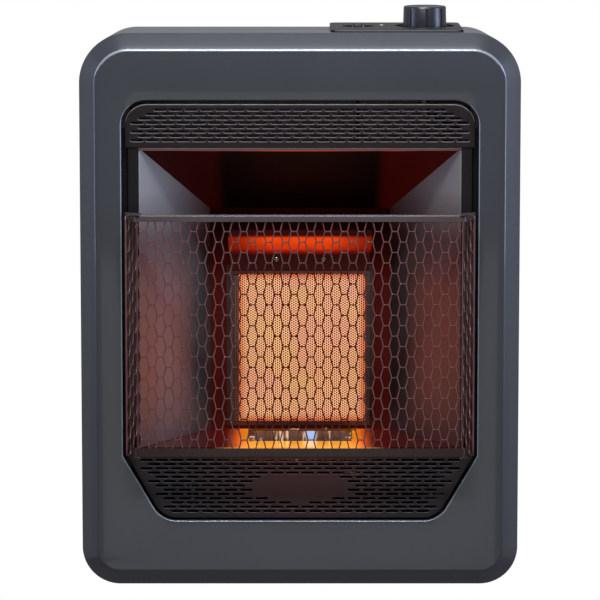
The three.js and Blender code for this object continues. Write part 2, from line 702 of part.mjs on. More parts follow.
// ---------------------------------------------------------------- firebox
const REFLECTOR_FRONT = PANEL_DEPTH + 2 * (SHEET + CLEAR);   // behind the posts' faces
const WALL_FACE = FIREBOX_DEPTH + THIN + CLEAR + 0.2;        // front of the firebox's back plate

function slantedHalf(depth) {
  const t = (depth - REFLECTOR_FRONT) / (FIREBOX_DEPTH - REFLECTOR_FRONT);
  return THREE.MathUtils.lerp(FIREBOX_FRONT_HALF, FIREBOX_BACK_HALF, t);
}

function hoodHeight(depth) {
  const t = (depth - HOOD_DEPTH) / (FIREBOX_DEPTH - HOOD_DEPTH);
  return THREE.MathUtils.lerp(HOOD_FRONT_HEIGHT, HOOD_BACK_HEIGHT, t);
}

// Plan of the hood and the floor: they overlap the reflectors' edges
function fireboxPlan(front, rear) {
  const a = slantedHalf(front) + SEAT_OVERLAP;
  const b = slantedHalf(rear) + SEAT_OVERLAP;
  return new THREE.Shape([
    point(-a, at(front)), point(a, at(front)), point(b, at(rear)), point(-b, at(rear)),
  ]);
}

// Slanted side wall, flanged behind the post and outwards on the back plate, sheared under the hood
function reflector(side) {
  const rear = FIREBOX_DEPTH + THIN;
  const path = [
    point(FIREBOX_FRONT_HALF + REFLECTOR_FLANGE, at(REFLECTOR_FRONT)),
    point(FIREBOX_FRONT_HALF, at(REFLECTOR_FRONT)),
    point(slantedHalf(rear), at(rear)),
    point(slantedHalf(rear) + REFLECTOR_REAR_FLANGE, at(rear)),
  ];
  const wall = alongZ(folded(path, -THIN), FLOOR_HEIGHT + CLEAR, HOOD_FRONT_HEIGHT);
  const above = new THREE.Shape([
    point(at(0), HOOD_FRONT_HEIGHT - CLEAR), point(at(HOOD_DEPTH), HOOD_FRONT_HEIGHT - CLEAR),
    point(at(FIREBOX_DEPTH + 5), hoodHeight(FIREBOX_DEPTH + 5) - CLEAR),
    point(at(FIREBOX_DEPTH + 5), HOOD_FRONT_HEIGHT + 50), point(at(0), HOOD_FRONT_HEIGHT + 50),
  ]);
  return mirrored(cut(wall, alongX(above, 0, 2 * FIREBOX_FRONT_HALF)), side);
}

// Sloping roof, turned up behind the upper louvres and against the back plate
function hood() {
  const rear = WALL_FACE - CLEAR - THIN;
  const path = [
    point(at(HOOD_DEPTH), UPPER_PANEL_BOTTOM + 4), point(at(HOOD_DEPTH), HOOD_FRONT_HEIGHT),
    point(at(rear), hoodHeight(rear)), point(at(rear), BACK_WALL_TOP),
  ];
  const reach = FIREBOX_FRONT_HALF + SEAT_OVERLAP;
  const profile = alongX(folded(path, THIN), -reach, reach);
  const outline = fireboxPlan(HOOD_DEPTH - 2 * THIN, WALL_FACE);
  const plan = alongZ(outline, HOOD_BACK_HEIGHT - 20, BACK_WALL_TOP + 99);
  return profile.intersect(plan);
}

function floor() {
  const rear = WALL_FACE - CLEAR;
  const path = [
    point(at(HOOD_DEPTH), FLOOR_HEIGHT - 12), point(at(HOOD_DEPTH), FLOOR_HEIGHT),
    point(at(rear), FLOOR_HEIGHT),
  ];
  const reach = FIREBOX_FRONT_HALF + SEAT_OVERLAP;
  const sheet = alongX(folded(path, -THIN), -reach, reach);
  const plan = alongZ(fireboxPlan(HOOD_DEPTH - 1, rear + 1), FLOOR_HEIGHT - 20, FLOOR_HEIGHT + 5);
  const notch = block(PILOT_CUT_LEFT, PILOT_CUT_RIGHT, at(PILOT_CUT_FRONT), at(PILOT_CUT_REAR),
    FLOOR_HEIGHT - 5, FLOOR_HEIGHT + 5);
  return cut(sheet.intersect(plan), notch);
}

// The plaque and what frames it share one centre
function plaqueBox(grow, front, rear) {
  const half = PLAQUE_WIDTH / 2 + grow;
  const rise = PLAQUE_HEIGHT / 2 + grow;
  return block(-half, half, at(front), at(rear), PLAQUE_CENTRE - rise, PLAQUE_CENTRE + rise);
}

const FRAME_INNER = GASKET + 2 * CLEAR;
const FRAME_OUTER = FRAME_INNER + THIN;
const FRAME_TOP = PLAQUE_CENTRE + PLAQUE_HEIGHT / 2 + FRAME_OUTER;
const FRAME_FRONT = PLAQUE_DEPTH - CLEAR - THIN;
const SEAT = WALL_FACE - CLEAR;                              // rear of what lies on the back plate
const PLENUM_FRONT = PLAQUE_DEPTH + PLAQUE_THICKNESS + CLEAR;

function fireboxBack() {
  const plate = block(-BACK_WALL_HALF, BACK_WALL_HALF, at(WALL_FACE), at(WALL_FACE + THIN),
    BACK_WALL_BASE, BACK_WALL_TOP);
  return cut(plate, plaqueBox(2 * CLEAR, WALL_FACE - 1, WALL_FACE + THIN + 1));
}

function plaqueFrame() {
  const body = join(
    plaqueBox(FRAME_OUTER, FRAME_FRONT, SEAT),
    plaqueBox(FRAME_OUTER + 4, SEAT - THIN, SEAT),
  );
  return cut(body, plaqueBox(FRAME_INNER, FRAME_FRONT + THIN, SEAT + 1),
    plaqueBox(FRAME_OUTER - PLAQUE_LIP, FRAME_FRONT - 1, FRAME_FRONT + THIN + 1));
}

function plenum() {
  const wall = 1;
  const flange = WALL_FACE + THIN + CLEAR;
  const body = join(plaqueBox(0, PLENUM_FRONT, PLENUM_REAR), plaqueBox(PLENUM_FLANGE, flange, flange + wall));
  const port = alongY(disc(VENTURI_LEFT + 20, VENTURI_HEIGHT, 6), at(PLENUM_REAR - 5), at(PLENUM_REAR + 5));
  return cut(body, plaqueBox(-wall, PLENUM_FRONT - 1, PLENUM_REAR - wall), port);
}

function clampBar() {
  const base = FRAME_TOP + CLEAR;
  const top = base + CLAMP_HEIGHT;
  const path = [point(at(FRAME_FRONT), base), point(at(FRAME_FRONT), top), point(at(SEAT), top)];
  const half = PLAQUE_WIDTH / 2 + FRAME_OUTER;
  const holes = [-1, 1].map((side) => alongY(
    disc(side * CLAMP_SCREW_SPACING / 2, base + CLAMP_HEIGHT * 0.6, 1.8), at(FRAME_FRONT - 2), at(FRAME_FRONT + 4)));
  return cut(alongX(folded(path, -THIN), -half, half), ...holes);
}

function clampScrew(side) {
  return turned([[0, -8], [1.5, -8], [1.5, CLEAR], [2.6, CLEAR], [2.6, 1.1], [1.7, 1.9], [0, 1.9]], 8)
    .rotate([90, 0, 0])
    .translate([side * CLAMP_SCREW_SPACING / 2, at(FRAME_FRONT), FRAME_TOP + CLEAR + CLAMP_HEIGHT * 0.6]);
}

// Strip on top of the clamp bar, bent up towards the front to throw the plaque's glow forwards
function heatBaffle() {
  const base = FRAME_TOP + CLAMP_HEIGHT + 2 * CLEAR;
  const path = [
    point(at(FRAME_FRONT + BAFFLE_FOOT), base), point(at(FRAME_FRONT), base),
    point(at(FRAME_FRONT - BAFFLE_REACH), base + BAFFLE_RISE),
    point(at(FRAME_FRONT - BAFFLE_REACH), base + BAFFLE_RISE + BAFFLE_LIP),
  ];
  return alongX(folded(path, -THIN), -BAFFLE_HALF, BAFFLE_HALF);
}

for (const [name, side] of SIDES) add(`${name}_reflector`, reflector(side), 'polished');
add('hood_deflector', hood(), 'darkSteel');
add('floor_reflector', floor(), 'polished');
add('firebox_back', fireboxBack(), 'darkSteel');
add('plaque_frame', plaqueFrame(), 'polished');
add('plaque_gasket', cut(
  plaqueBox(CLEAR + GASKET, PLAQUE_DEPTH, PLAQUE_DEPTH + PLAQUE_THICKNESS),
  plaqueBox(CLEAR, PLAQUE_DEPTH - 1, PLAQUE_DEPTH + PLAQUE_THICKNESS + 1)), 'felt');
add('ceramic_plaque', plaqueBox(0, PLAQUE_DEPTH, PLAQUE_DEPTH + PLAQUE_THICKNESS), 'ceramic');
add('burner_plenum', plenum(), 'galvanised');
add('clamp_bar', clampBar(), 'darkSteel');
for (const [name, side] of SIDES) add(`clamp_screw_${name}`, clampScrew(side), 'galvanised');
add('heat_baffle', heatBaffle(), 'polished');

// ---------------------------------------------------------------- burner feed
const VENTURI_DEPTH = PLENUM_REAR + CLEAR + VENTURI_RADIUS;

// Mixing tube with a narrow throat and a bell mouth, on a saddle behind the plenum
function venturi() {
  const wall = 1.2;
  const outer = [
    [VENTURI_RADIUS, VENTURI_LEFT], [VENTURI_RADIUS, VENTURI_LEFT + 70], [VENTURI_RADIUS - 3.5, VENTURI_LEFT + 92],
    [VENTURI_RADIUS - 3.5, VENTURI_LEFT + 102], [VENTURI_RADIUS, VENTURI_RIGHT],
  ];
  const inner = outer.slice(1).reverse().map(([r, x]) => [r - wall, x]);
  const tube = turnedX([[0, VENTURI_LEFT], ...outer, ...inner,
    [VENTURI_RADIUS - wall, VENTURI_LEFT + wall], [0, VENTURI_LEFT + wall]])
    .translate([0, at(VENTURI_DEPTH), VENTURI_HEIGHT]);
  const port = VENTURI_LEFT + 20;
  const saddle = cut(block(port - 9, port + 9, at(PLENUM_REAR + CLEAR), at(VENTURI_DEPTH),
    VENTURI_HEIGHT - 9, VENTURI_HEIGHT + 9), alongY(disc(port, VENTURI_HEIGHT, 6), at(PLENUM_REAR), at(VENTURI_DEPTH)),
  turnedX([[0, VENTURI_LEFT], [VENTURI_RADIUS - 0.2, VENTURI_LEFT], [VENTURI_RADIUS - 0.2, VENTURI_LEFT + 69],
    [0, VENTURI_LEFT + 69]]).translate([0, at(VENTURI_DEPTH), VENTURI_HEIGHT]));
  const bore = alongY(disc(port, VENTURI_HEIGHT, 6), at(PLENUM_REAR), at(VENTURI_DEPTH));
  return cut(join(tube, saddle), bore);
}

function injectorBracket() {
  const foot = WALL_FACE + THIN + CLEAR;
  const face = HOLDER_LEFT - CLEAR;
  const path = [point(face - 14, at(foot)), point(face, at(foot)), point(face, at(VENTURI_DEPTH + 14))];
  const hole = turnedX([[0, -5], [5, -5], [5, 5], [0, 5]], 12).translate([face, at(VENTURI_DEPTH), VENTURI_HEIGHT]);
  return cut(alongZ(folded(path, SHEET), VENTURI_HEIGHT - 12, VENTURI_HEIGHT + 12), hole);
}

add('venturi', venturi(), 'galvanised');
add('injector_bracket', injectorBracket(), 'galvanised');
add('injector_holder', turnedX([[0, 0], [HOLDER_SIZE, 0], [HOLDER_SIZE, HOLDER_LENGTH], [0, HOLDER_LENGTH]], 6)
  .translate([HOLDER_LEFT, at(VENTURI_DEPTH), VENTURI_HEIGHT]), 'brass');
add('gas_injector', turnedX([[0.6, -13], [2, -13], [4, -8], [4, -CLEAR], [0.6, -CLEAR], [0.6, -13]], 12)
  .translate([HOLDER_LEFT, at(VENTURI_DEPTH), VENTURI_HEIGHT]), 'brass');

// ---------------------------------------------------------------- pilot
const BRACKET_TOP = BRACKET_FLOOR + THIN;

function pilotBracket() {
  const ledge = FLOOR_HEIGHT - THIN - CLEAR - THIN;
  const path = [
    point(-BRACKET_HALF - 11, ledge), point(-BRACKET_HALF, ledge), point(-BRACKET_HALF, BRACKET_FLOOR),
    point(BRACKET_HALF, BRACKET_FLOOR), point(BRACKET_HALF, ledge), point(BRACKET_HALF + 11, ledge),
  ];
  const tray = alongY(folded(path, THIN), at(BRACKET_FRONT), at(BRACKET_REAR));
  const screen = block(-BRACKET_HALF + 1, BRACKET_HALF - 1, at(BRACKET_FRONT), at(BRACKET_FRONT + THIN),
    BRACKET_FLOOR, BRACKET_LIP);
  const holes = [[PILOT_X, 3], [ELECTRODE_X, 3.4], [THERMOCOUPLE_X, 2.7]].map(([x, radius]) =>
    alongZ(disc(x, at(PILOT_DEPTH), radius), BRACKET_FLOOR - 2, BRACKET_TOP + 2));
  return cut(join(tray, screen), ...holes);
}

const PILOT_BASE = BRACKET_TOP + CLEAR;
add('pilot_bracket', pilotBracket(), 'galvanised');
add('pilot_burner', turned([
  [0, PILOT_BASE - 9], [2.6, PILOT_BASE - 9], [2.6, PILOT_BASE], [5.5, PILOT_BASE], [5.5, PILOT_BASE + 5],
  [4.2, PILOT_BASE + 7], [4.2, PILOT_BASE + 11], [3, PILOT_BASE + 13], [0, PILOT_BASE + 13],
], 14).translate([PILOT_X, at(PILOT_DEPTH), 0]), 'brass');
add('electrode_insulator', turned([
  [0, PILOT_BASE - 9], [3, PILOT_BASE - 9], [3, PILOT_BASE], [4.4, PILOT_BASE], [4.4, PILOT_BASE + 3],
  [2.4, PILOT_BASE + 4], [2.4, PILOT_BASE + 8], [0, PILOT_BASE + 8],
], 12).translate([ELECTRODE_X, at(PILOT_DEPTH), 0]), 'white');
add('pilot_electrode', pipe([
  node(ELECTRODE_X, PILOT_DEPTH, PILOT_BASE + 8 + CLEAR), node(ELECTRODE_X, PILOT_DEPTH, PILOT_BASE + 12),
  node(ELECTRODE_X + 5, PILOT_DEPTH, PILOT_BASE + 15), node(PILOT_X - 7, PILOT_DEPTH, PILOT_BASE + 14),
], 0.9, 8, 6), 'galvanised');
add('thermocouple', turned([
  [0, PILOT_BASE - 12], [2.3, PILOT_BASE - 12], [2.3, PILOT_BASE], [4.6, PILOT_BASE], [4.6, PILOT_BASE + 3],
  [2.2, PILOT_BASE + 3.5], [2.2, PILOT_BASE + 15], [1.2, PILOT_BASE + 17], [0, PILOT_BASE + 17],
], 12).translate([THERMOCOUPLE_X, at(PILOT_DEPTH), 0]), 'castAlloy');

// ---------------------------------------------------------------- controls (in the tilted group)
// Wedge-shaped pressed cover whose skirt stands on the level cabinet top
function controlPlate() {
  const skirt = BEZEL_HEIGHT + CLEAR;
  const rear = PLATE_FRONT + PLATE_LENGTH;
  const slope = Math.tan(CONTROL_TILT);
  const corners = [
    point(PLATE_LEFT, at(PLATE_FRONT)), point(PLATE_RIGHT, at(PLATE_FRONT)),
    point(PLATE_RIGHT, at(rear)), point(PLATE_LEFT, at(rear)),
  ];
  const radii = corners.map(() => PLATE_RADIUS);
  const inner = alongZ(rounded(grown(corners, -SHEET), radii.map((r) => r - SHEET)), skirt - 1, PLATE_HEIGHT + 99);
  const wedge = (drop) => alongX(new THREE.Shape([
    point(at(PLATE_FRONT - 5), skirt - 9), point(at(rear + 5), skirt - 9),
    point(at(rear + 5), PLATE_HEIGHT + (PLATE_LENGTH + 5) * slope - drop),
    point(at(PLATE_FRONT - 5), PLATE_HEIGHT - 5 * slope - drop),
  ]), PLATE_LEFT - 5, PLATE_RIGHT + 5);
  const cover = alongZ(rounded(corners, radii), skirt, PLATE_HEIGHT + 20).intersect(wedge(0));
  const hollow = inner.intersect(wedge(SHEET));
  const hole = (x, back, radius) => {
    const place = fromControls(x, back, 0);
    return alongZ(disc(x, 0, radius, 5), -20, 20).translate([0, place.y, place.z]);
  };
  const notches = [PLATE_LEFT + PLATE_NOTCH, PLATE_RIGHT - PLATE_NOTCH].map((x) =>
    alongZ(disc(x, at(PLATE_FRONT + PLATE_NOTCH), PLATE_NOTCH / 2), skirt - 1, PLATE_HEIGHT + 9));
  return cut(cover, hollow, hole(KNOB_X, KNOB_BACK, KNOB_HOLE_RADIUS),
    hole(IGNITER_X, IGNITER_BACK, IGNITER_HOLE_RADIUS), ...notches);
}

// Hangs below the cover by its front and rear flanges and carries the valve and the igniter
function controlBracket() {
  const top = -SHEET - CLEAR;
  const low = -TRAY_DEPTH + SHEET;
  const front = 6;
  const rear = PLATE_LENGTH - 6;
  const path = [
    point(front, top), point(front + 6, top), point(front + 6, low),
    point(rear - 6, low), point(rear - 6, top), point(rear, top),
  ];
  const tray = alongX(folded(path, -SHEET), PLATE_LEFT + 6, PLATE_RIGHT - 6);
  return cut(tray,
    alongZ(disc(KNOB_X, KNOB_BACK, STEM_RADIUS + 2), low - 9, low + 9),
    alongZ(disc(IGNITER_X, IGNITER_BACK, 8.5 + CLEAR), low - 9, low + 9));
}

// Knob: hollow moulding with a stem socket, grip grooves and a pointer cut in its top
function knob() {
  const top = KNOB_BASE + KNOB_HEIGHT;
  const wall = 2.2;
  const body = turned([
    [0, top], [KNOB_RADIUS - 2.2, top], [KNOB_RADIUS - 0.6, top - 1.6], [KNOB_RADIUS, KNOB_BASE],
    [KNOB_RADIUS - wall, KNOB_BASE], [KNOB_RADIUS - wall - 0.5, top - wall - 0.6], [7, top - wall - 0.6],
    [7, KNOB_BASE + 1], [STEM_RADIUS + CLEAR, KNOB_BASE + 1], [STEM_RADIUS + CLEAR, top - 6], [0, top - 6],
  ], 32);
  const grooves = [];
  for (let i = 0; i < KNOB_GROOVES; i += 1) {
    grooves.push(block(KNOB_RADIUS - 1.2, KNOB_RADIUS + 2, -0.55, 0.55, KNOB_BASE - 1, top - 2.4)
      .rotate([0, 0, (360 * (i + 0.55)) / KNOB_GROOVES]));
  }
  const pointer = block(-KNOB_RADIUS + 3.5, -KNOB_RADIUS + 12, -0.8, 0.8, top - 0.5, top + 1);
  return cut(body, pointer, ...grooves).translate([KNOB_X, KNOB_BACK, 0]);
}

const VALVE_TOP = -TRAY_DEPTH - CLEAR - 2.2 - CLEAR;
const ROTOR_TOP = VALVE_TOP - 1;

function valveBody() {
  const chamfer = 6;
  const half = VALVE_WIDTH / 2;
  const depth = VALVE_LENGTH / 2;
  const shape = rounded([point(-half, -depth), point(half, -depth), point(half, depth), point(-half, depth)],
    [chamfer, chamfer, chamfer, chamfer]);
  const low = VALVE_TOP - VALVE_HEIGHT;
  const body = join(alongZ(shape, low + 8, VALVE_TOP), turned([
    [0, low], [12, low], [14, low + 3], [14, low + 9], [0, low + 9],
  ], 16));
  const bore = turned([
    [0, ROTOR_TOP - 28], [ROTOR_RADIUS - 1.2 + CLEAR, ROTOR_TOP - 28], [ROTOR_RADIUS + CLEAR, VALVE_TOP + 1],
    [0, VALVE_TOP + 1],
  ], 16);
  return cut(body, bore).translate([KNOB_X, KNOB_BACK, 0]);
}

function valveRotor() {
  const plug = turned([
    [0, ROTOR_TOP - 27.5], [ROTOR_RADIUS - 1.2, ROTOR_TOP - 27.5], [ROTOR_RADIUS, ROTOR_TOP], [0, ROTOR_TOP],
  ], 16);
  const socket = turned([[0, ROTOR_TOP - 12], [STEM_RADIUS + CLEAR, ROTOR_TOP - 12],
    [STEM_RADIUS + CLEAR, ROTOR_TOP + 1], [0, ROTOR_TOP + 1]], 16);
  const port = turnedX([[0, -20], [2, -20], [2, 20], [0, 20]], 10).translate([0, 0, ROTOR_TOP - 18]);
  return cut(plug, socket, port).translate([KNOB_X, KNOB_BACK, 0]);
}

function valveStem() {
  const top = KNOB_BASE + KNOB_HEIGHT - 6 - CLEAR;
  const low = ROTOR_TOP - 7;
  const rod = turned([[0, low], [STEM_RADIUS, low], [STEM_RADIUS, top], [0, top]], 16);
  const flat = block(STEM_RADIUS - 0.9, STEM_RADIUS + 1, -5, 5, KNOB_BASE, top + 1);
  return cut(rod, flat).translate([KNOB_X, KNOB_BACK, 0]);
}

function valveBonnet() {
  const low = VALVE_TOP + CLEAR;
  const high = -TRAY_DEPTH - CLEAR;
  return turned([[STEM_RADIUS + CLEAR, low], [16, low], [16, high], [STEM_RADIUS + CLEAR, high],
    [STEM_RADIUS + CLEAR, low]], 16).translate([KNOB_X, KNOB_BACK, 0]);
}

const IGNITER_TOP = -14;
const IGNITER_LOW = -62;

function igniterBody() {
  const shoulder = -TRAY_DEPTH - CLEAR;
  const body = turned([
    [0, IGNITER_LOW], [3, IGNITER_LOW], [3, IGNITER_LOW + 5], [9, IGNITER_LOW + 5], [11, IGNITER_LOW + 7],
    [11, shoulder], [8.5, shoulder], [8.5, IGNITER_TOP], [5.3, IGNITER_TOP], [5.3, IGNITER_TOP - 26],
    [0, IGNITER_TOP - 26],
  ], 14);
  return body.translate([IGNITER_X, IGNITER_BACK, 0]);
}

function igniterButton() {
  const low = IGNITER_TOP + BUTTON_TRAVEL + 1;
  return turned([
    [0, low - 24], [5, low - 24], [5, low], [BUTTON_RADIUS, low], [BUTTON_RADIUS, BUTTON_TOP - 1.2],
    [BUTTON_RADIUS - 1, BUTTON_TOP - 0.3], [BUTTON_RADIUS - 3, BUTTON_TOP], [0, BUTTON_TOP + 0.2],
  ], 20).translate([IGNITER_X, IGNITER_BACK, 0]);
}

function igniterNut() {
  const low = -TRAY_DEPTH + SHEET + CLEAR;
  const hex = turned([[0, low], [13, low], [13, low + 2.4], [0, low + 2.4]], 6);
  const bore = alongZ(disc(0, 0, 8.5 + CLEAR), low - 1, low + 4);
  return cut(hex, bore).translate([IGNITER_X, IGNITER_BACK, 0]);
}

add('control_plate', controlPlate(), 'plate');
add('control_bracket', controlBracket(), 'galvanised', controls);
add('control_knob', knob(), 'plastic', controls);
add('valve_stem', valveStem(), 'galvanised', controls);
add('valve_bonnet', valveBonnet(), 'brass', controls);
add('valve_rotor', valveRotor(), 'brass', controls);
add('gas_valve_body', valveBody(), 'castAlloy', controls);
add('igniter_body', igniterBody(), 'plastic', controls);
add('igniter_nut', igniterNut(), 'galvanised', controls);
add('igniter_button', igniterButton(), 'plastic', controls);

// ---------------------------------------------------------------- gas train
function inletFitting() {
  const top = REGULATOR_BASE - CLEAR;
  return join(
    turned([[2, -INLET_DROP], [INLET_RADIUS - 1, -INLET_DROP], [INLET_RADIUS, -INLET_DROP + 4], [INLET_RADIUS, top],
      [2, top], [2, -INLET_DROP]]),
    cut(turned([[0, 14], [INLET_RADIUS + 3, 14], [INLET_RADIUS + 3, 26], [0, 26]], 6),
      turned([[0, 13], [INLET_RADIUS - 1, 13], [INLET_RADIUS - 1, 27], [0, 27]])),
  ).translate([REGULATOR_X, REGULATOR_Y, 0]);
}

function regulatorBracket() {
  const high = REGULATOR_BASE - CLEAR - SHEET;
  const foot = -SHEET - CLEAR;
  const path = [point(foot, high + 45), point(foot, high), point(REGULATOR_Y - 24, high)];
  const plate = alongX(folded(path, -SHEET), REGULATOR_X - 22, REGULATOR_X + 22);
  return cut(plate, alongZ(disc(REGULATOR_X, REGULATOR_Y, INLET_RADIUS + CLEAR), high - 9, high + 9));
}

const REGULATOR_MIDDLE = REGULATOR_BASE + 22;
add('gas_regulator', turned([
  [0, REGULATOR_BASE], [14, REGULATOR_BASE], [14, REGULATOR_BASE + 6], [REGULATOR_RADIUS - 5, REGULATOR_BASE + 12],
  [REGULATOR_RADIUS, REGULATOR_BASE + 18], [REGULATOR_RADIUS, REGULATOR_MIDDLE], [0, REGULATOR_MIDDLE],
], 20).translate([REGULATOR_X, REGULATOR_Y, 0]), 'castAlloy');
add('regulator_cap', turned([
  [0, REGULATOR_MIDDLE + CLEAR], [REGULATOR_RADIUS, REGULATOR_MIDDLE + CLEAR],
  [REGULATOR_RADIUS, REGULATOR_MIDDLE + 4], [REGULATOR_RADIUS - 8, REGULATOR_MIDDLE + 9],
  [11, REGULATOR_MIDDLE + 12], [11, REGULATOR_MIDDLE + 24], [0, REGULATOR_MIDDLE + 24],
], 20).translate([REGULATOR_X, REGULATOR_Y, 0]), 'castAlloy');
add('regulator_bracket', regulatorBracket(), 'galvanised');
add('inlet_fitting', inletFitting(), 'brass');

// Rigid pipes and leads, each ending just off what it feeds
const valveLow = fromControls(KNOB_X, KNOB_BACK, VALVE_TOP - VALVE_HEIGHT - CLEAR);
const valveSide = (back, up) => fromControls(KNOB_X + VALVE_WIDTH / 2 + CLEAR, KNOB_BACK + back, up);
const holderEnd = node(HOLDER_LEFT + HOLDER_LENGTH + CLEAR, VENTURI_DEPTH, VENTURI_HEIGHT);
const burnerPort = valveSide(3, VALVE_TOP - 24);
const pilotPort = valveSide(-10, VALVE_TOP - 12);
const leadPort = valveSide(-10, VALVE_TOP - 30);
const sideways = (p, x, z = 0) => new THREE.Vector3(p.x + x, p.y, p.z + z);

add('burner_tube', pipe([
  holderEnd, sideways(holderEnd, 20), node(SIDE_RUN - 33, 160, VENTURI_HEIGHT + 8),
  node(SIDE_RUN - 20, 148, VENTURI_HEIGHT + 45), node(SIDE_RUN - 14, 112, 330),
  node(SIDE_RUN - 14, 92, HANG_HEIGHT), sideways(burnerPort, 28, -12), sideways(burnerPort, 12), burnerPort,
], 4, 22, 7), 'pipe');
const inletEnd = new THREE.Vector3(REGULATOR_X + REGULATOR_RADIUS + CLEAR, REGULATOR_Y, REGULATOR_BASE + 20);
add('inlet_tube', pipe([
  inletEnd, sideways(inletEnd, 10 - CLEAR), new THREE.Vector3(SIDE_RUN - 2, REGULATOR_Y, REGULATOR_BASE + 39),
  node(SIDE_RUN, PLENUM_REAR, 200), node(SIDE_RUN, PLENUM_REAR - 2, BACK_WALL_TOP - 2),
  node(SIDE_RUN - 20, 134, valveLow.z - 50.5), node(KNOB_X + 17.6, 108, valveLow.z - 30.5),
  new THREE.Vector3(KNOB_X + 4, valveLow.y + 3, valveLow.z - 24.5), sideways(valveLow, 0, -14.5), valveLow,
], 4.5, 24, 7), 'pipe');
add('pilot_tube', pipe([
  node(PILOT_X, PILOT_DEPTH, PILOT_BASE - 9 - CLEAR), node(PILOT_X, PILOT_DEPTH, PILOT_BASE - 13.6),
  node(5, 79, 109), node(-12, 74, 113), node(-40, 66, 119), node(-66.7, 60, 113.5), node(-93, 58, 102.4),
  node(-108, 58, 94), node(-108, 60, 80.7), node(-101, 64, 63), node(-84, 70, 44), node(-50, 80, 32),
  node(40, 86, 28), node(130, 84, 30), node(SIDE_RUN - 16, 78, 44), node(SIDE_RUN + 2, 74, 90),
  node(SIDE_RUN + 3, 72, 250), node(SIDE_RUN + 3, 72, 430), sideways(pilotPort, 36, -20),
  sideways(pilotPort, 12), pilotPort,
], 2, 42, 5), 'pipe');
add('thermocouple_lead', pipe([
  node(THERMOCOUPLE_X, PILOT_DEPTH, PILOT_BASE - 12 - CLEAR), node(THERMOCOUPLE_X, PILOT_DEPTH, 109),
  node(THERMOCOUPLE_X + 5, PILOT_DEPTH, 103), node(60, 72, 98), node(110, 62, 92),
  node(SIDE_RUN - 31, 52, 106), node(SIDE_RUN, 48, 150), node(SIDE_RUN + 7, 48, 260),
  node(SIDE_RUN + 7, 50, 420), sideways(leadPort, 34, -16), sideways(leadPort, 10), leadPort,
], 1.3, 26, 5), 'brass');
const igniterEnd = fromControls(IGNITER_X, IGNITER_BACK, IGNITER_LOW - CLEAR);
const cableEnd = node(ELECTRODE_X, PILOT_DEPTH, PILOT_BASE - 9 - CLEAR);
add('ignition_cable', pipe([
  igniterEnd, sideways(igniterEnd, 0, -8), node(IGNITER_X, 110, igniterEnd.z - 34),
  node(IGNITER_X - 2, PLENUM_REAR, igniterEnd.z - 80), node(30, PLENUM_REAR + 20, 330),
  node(-40, PLENUM_REAR + 18, 270), node(-66, PLENUM_REAR + 16, 200),
  node(-66, PLENUM_REAR, PLAQUE_CENTRE - 81), node(-48, 128, BACK_WALL_BASE - 12),
  node(-24, PILOT_DEPTH + 18, 104), sideways(cableEnd, 0, -9.5), cableEnd,
], 1.8, 28, 5), 'rubber');

export default heater;
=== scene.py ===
"""Wall mounted gas heater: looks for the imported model, piece by piece as it is put together."""
import math

import bmesh
import bpy
from mathutils import Matrix, Vector


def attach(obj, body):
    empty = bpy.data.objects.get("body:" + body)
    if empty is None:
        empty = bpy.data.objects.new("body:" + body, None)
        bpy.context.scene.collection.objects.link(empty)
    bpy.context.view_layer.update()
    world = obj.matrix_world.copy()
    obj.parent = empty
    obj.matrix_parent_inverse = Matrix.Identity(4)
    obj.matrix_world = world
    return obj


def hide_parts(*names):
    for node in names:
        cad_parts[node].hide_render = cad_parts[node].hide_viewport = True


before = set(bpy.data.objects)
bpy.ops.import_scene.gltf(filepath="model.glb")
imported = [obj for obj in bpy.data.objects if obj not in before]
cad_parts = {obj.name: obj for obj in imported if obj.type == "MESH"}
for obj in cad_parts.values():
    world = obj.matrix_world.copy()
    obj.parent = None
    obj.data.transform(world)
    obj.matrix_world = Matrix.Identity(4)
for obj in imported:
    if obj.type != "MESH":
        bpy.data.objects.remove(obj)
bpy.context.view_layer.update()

# ---------------------------------------------------------------- casing
# The casing is wrapped from one 1.2 mm steel sheet with broad rounded corners and a flange at the
# front, and powder coated in a satin grey a little lighter than the bezel's. Air enters through
# two rows of slots in its underside.
FACE_DISTANCE, HANG_HEIGHT = 200, 440        # from the wall to the face; from the foot to the origin
SHEET = 0.0012


def place(x, depth, height):
    """A point so many millimetres right of the middle, behind the face and above the bezel's foot."""
    return Vector((x, depth - FACE_DISTANCE, height - HANG_HEIGHT)) / 1000


def alone(*pieces):
    """Object mode, with only these pieces selected and the first one active."""
    if bpy.context.object and bpy.context.object.mode != "OBJECT":
        bpy.ops.object.mode_set(mode="OBJECT")
    bpy.ops.object.select_all(action="DESELECT")
    for piece in pieces:
        piece.select_set(True)
    if pieces:
        bpy.context.view_layer.objects.active = pieces[0]


def block(name, left, right, front, rear, low, high):
    """A box between those millimetres, its object at the origin."""
    corners = place(left, front, low), place(right, rear, high)
    alone()
    bpy.ops.mesh.primitive_cube_add(size=1, location=(corners[0] + corners[1]) / 2)
    piece = bpy.context.object
    piece.name = name
    piece.scale = corners[1] - corners[0]
    bpy.ops.object.transform_apply(location=True, rotation=True, scale=True)
    return piece


def choose(piece, kind, test):
    """Edit mode, with only those faces (FACE) or edges (EDGE) selected that pass the test."""
    alone(piece)
    bpy.ops.object.mode_set(mode="EDIT")
    bpy.ops.mesh.select_mode(type=kind)
    bpy.ops.mesh.select_all(action="DESELECT")
    mesh = bmesh.from_edit_mesh(piece.data)
    for part in mesh.faces if kind == "FACE" else mesh.edges:
        part.select_set(bool(test(part)))
    bmesh.update_edit_mesh(piece.data)


def bevel(piece, width, segments, test):
    """Bevels the edges that pass the test, by that many millimetres."""
    choose(piece, "EDGE", test)
    bpy.ops.mesh.bevel(offset=width / 1000, segments=segments, affect="EDGES")


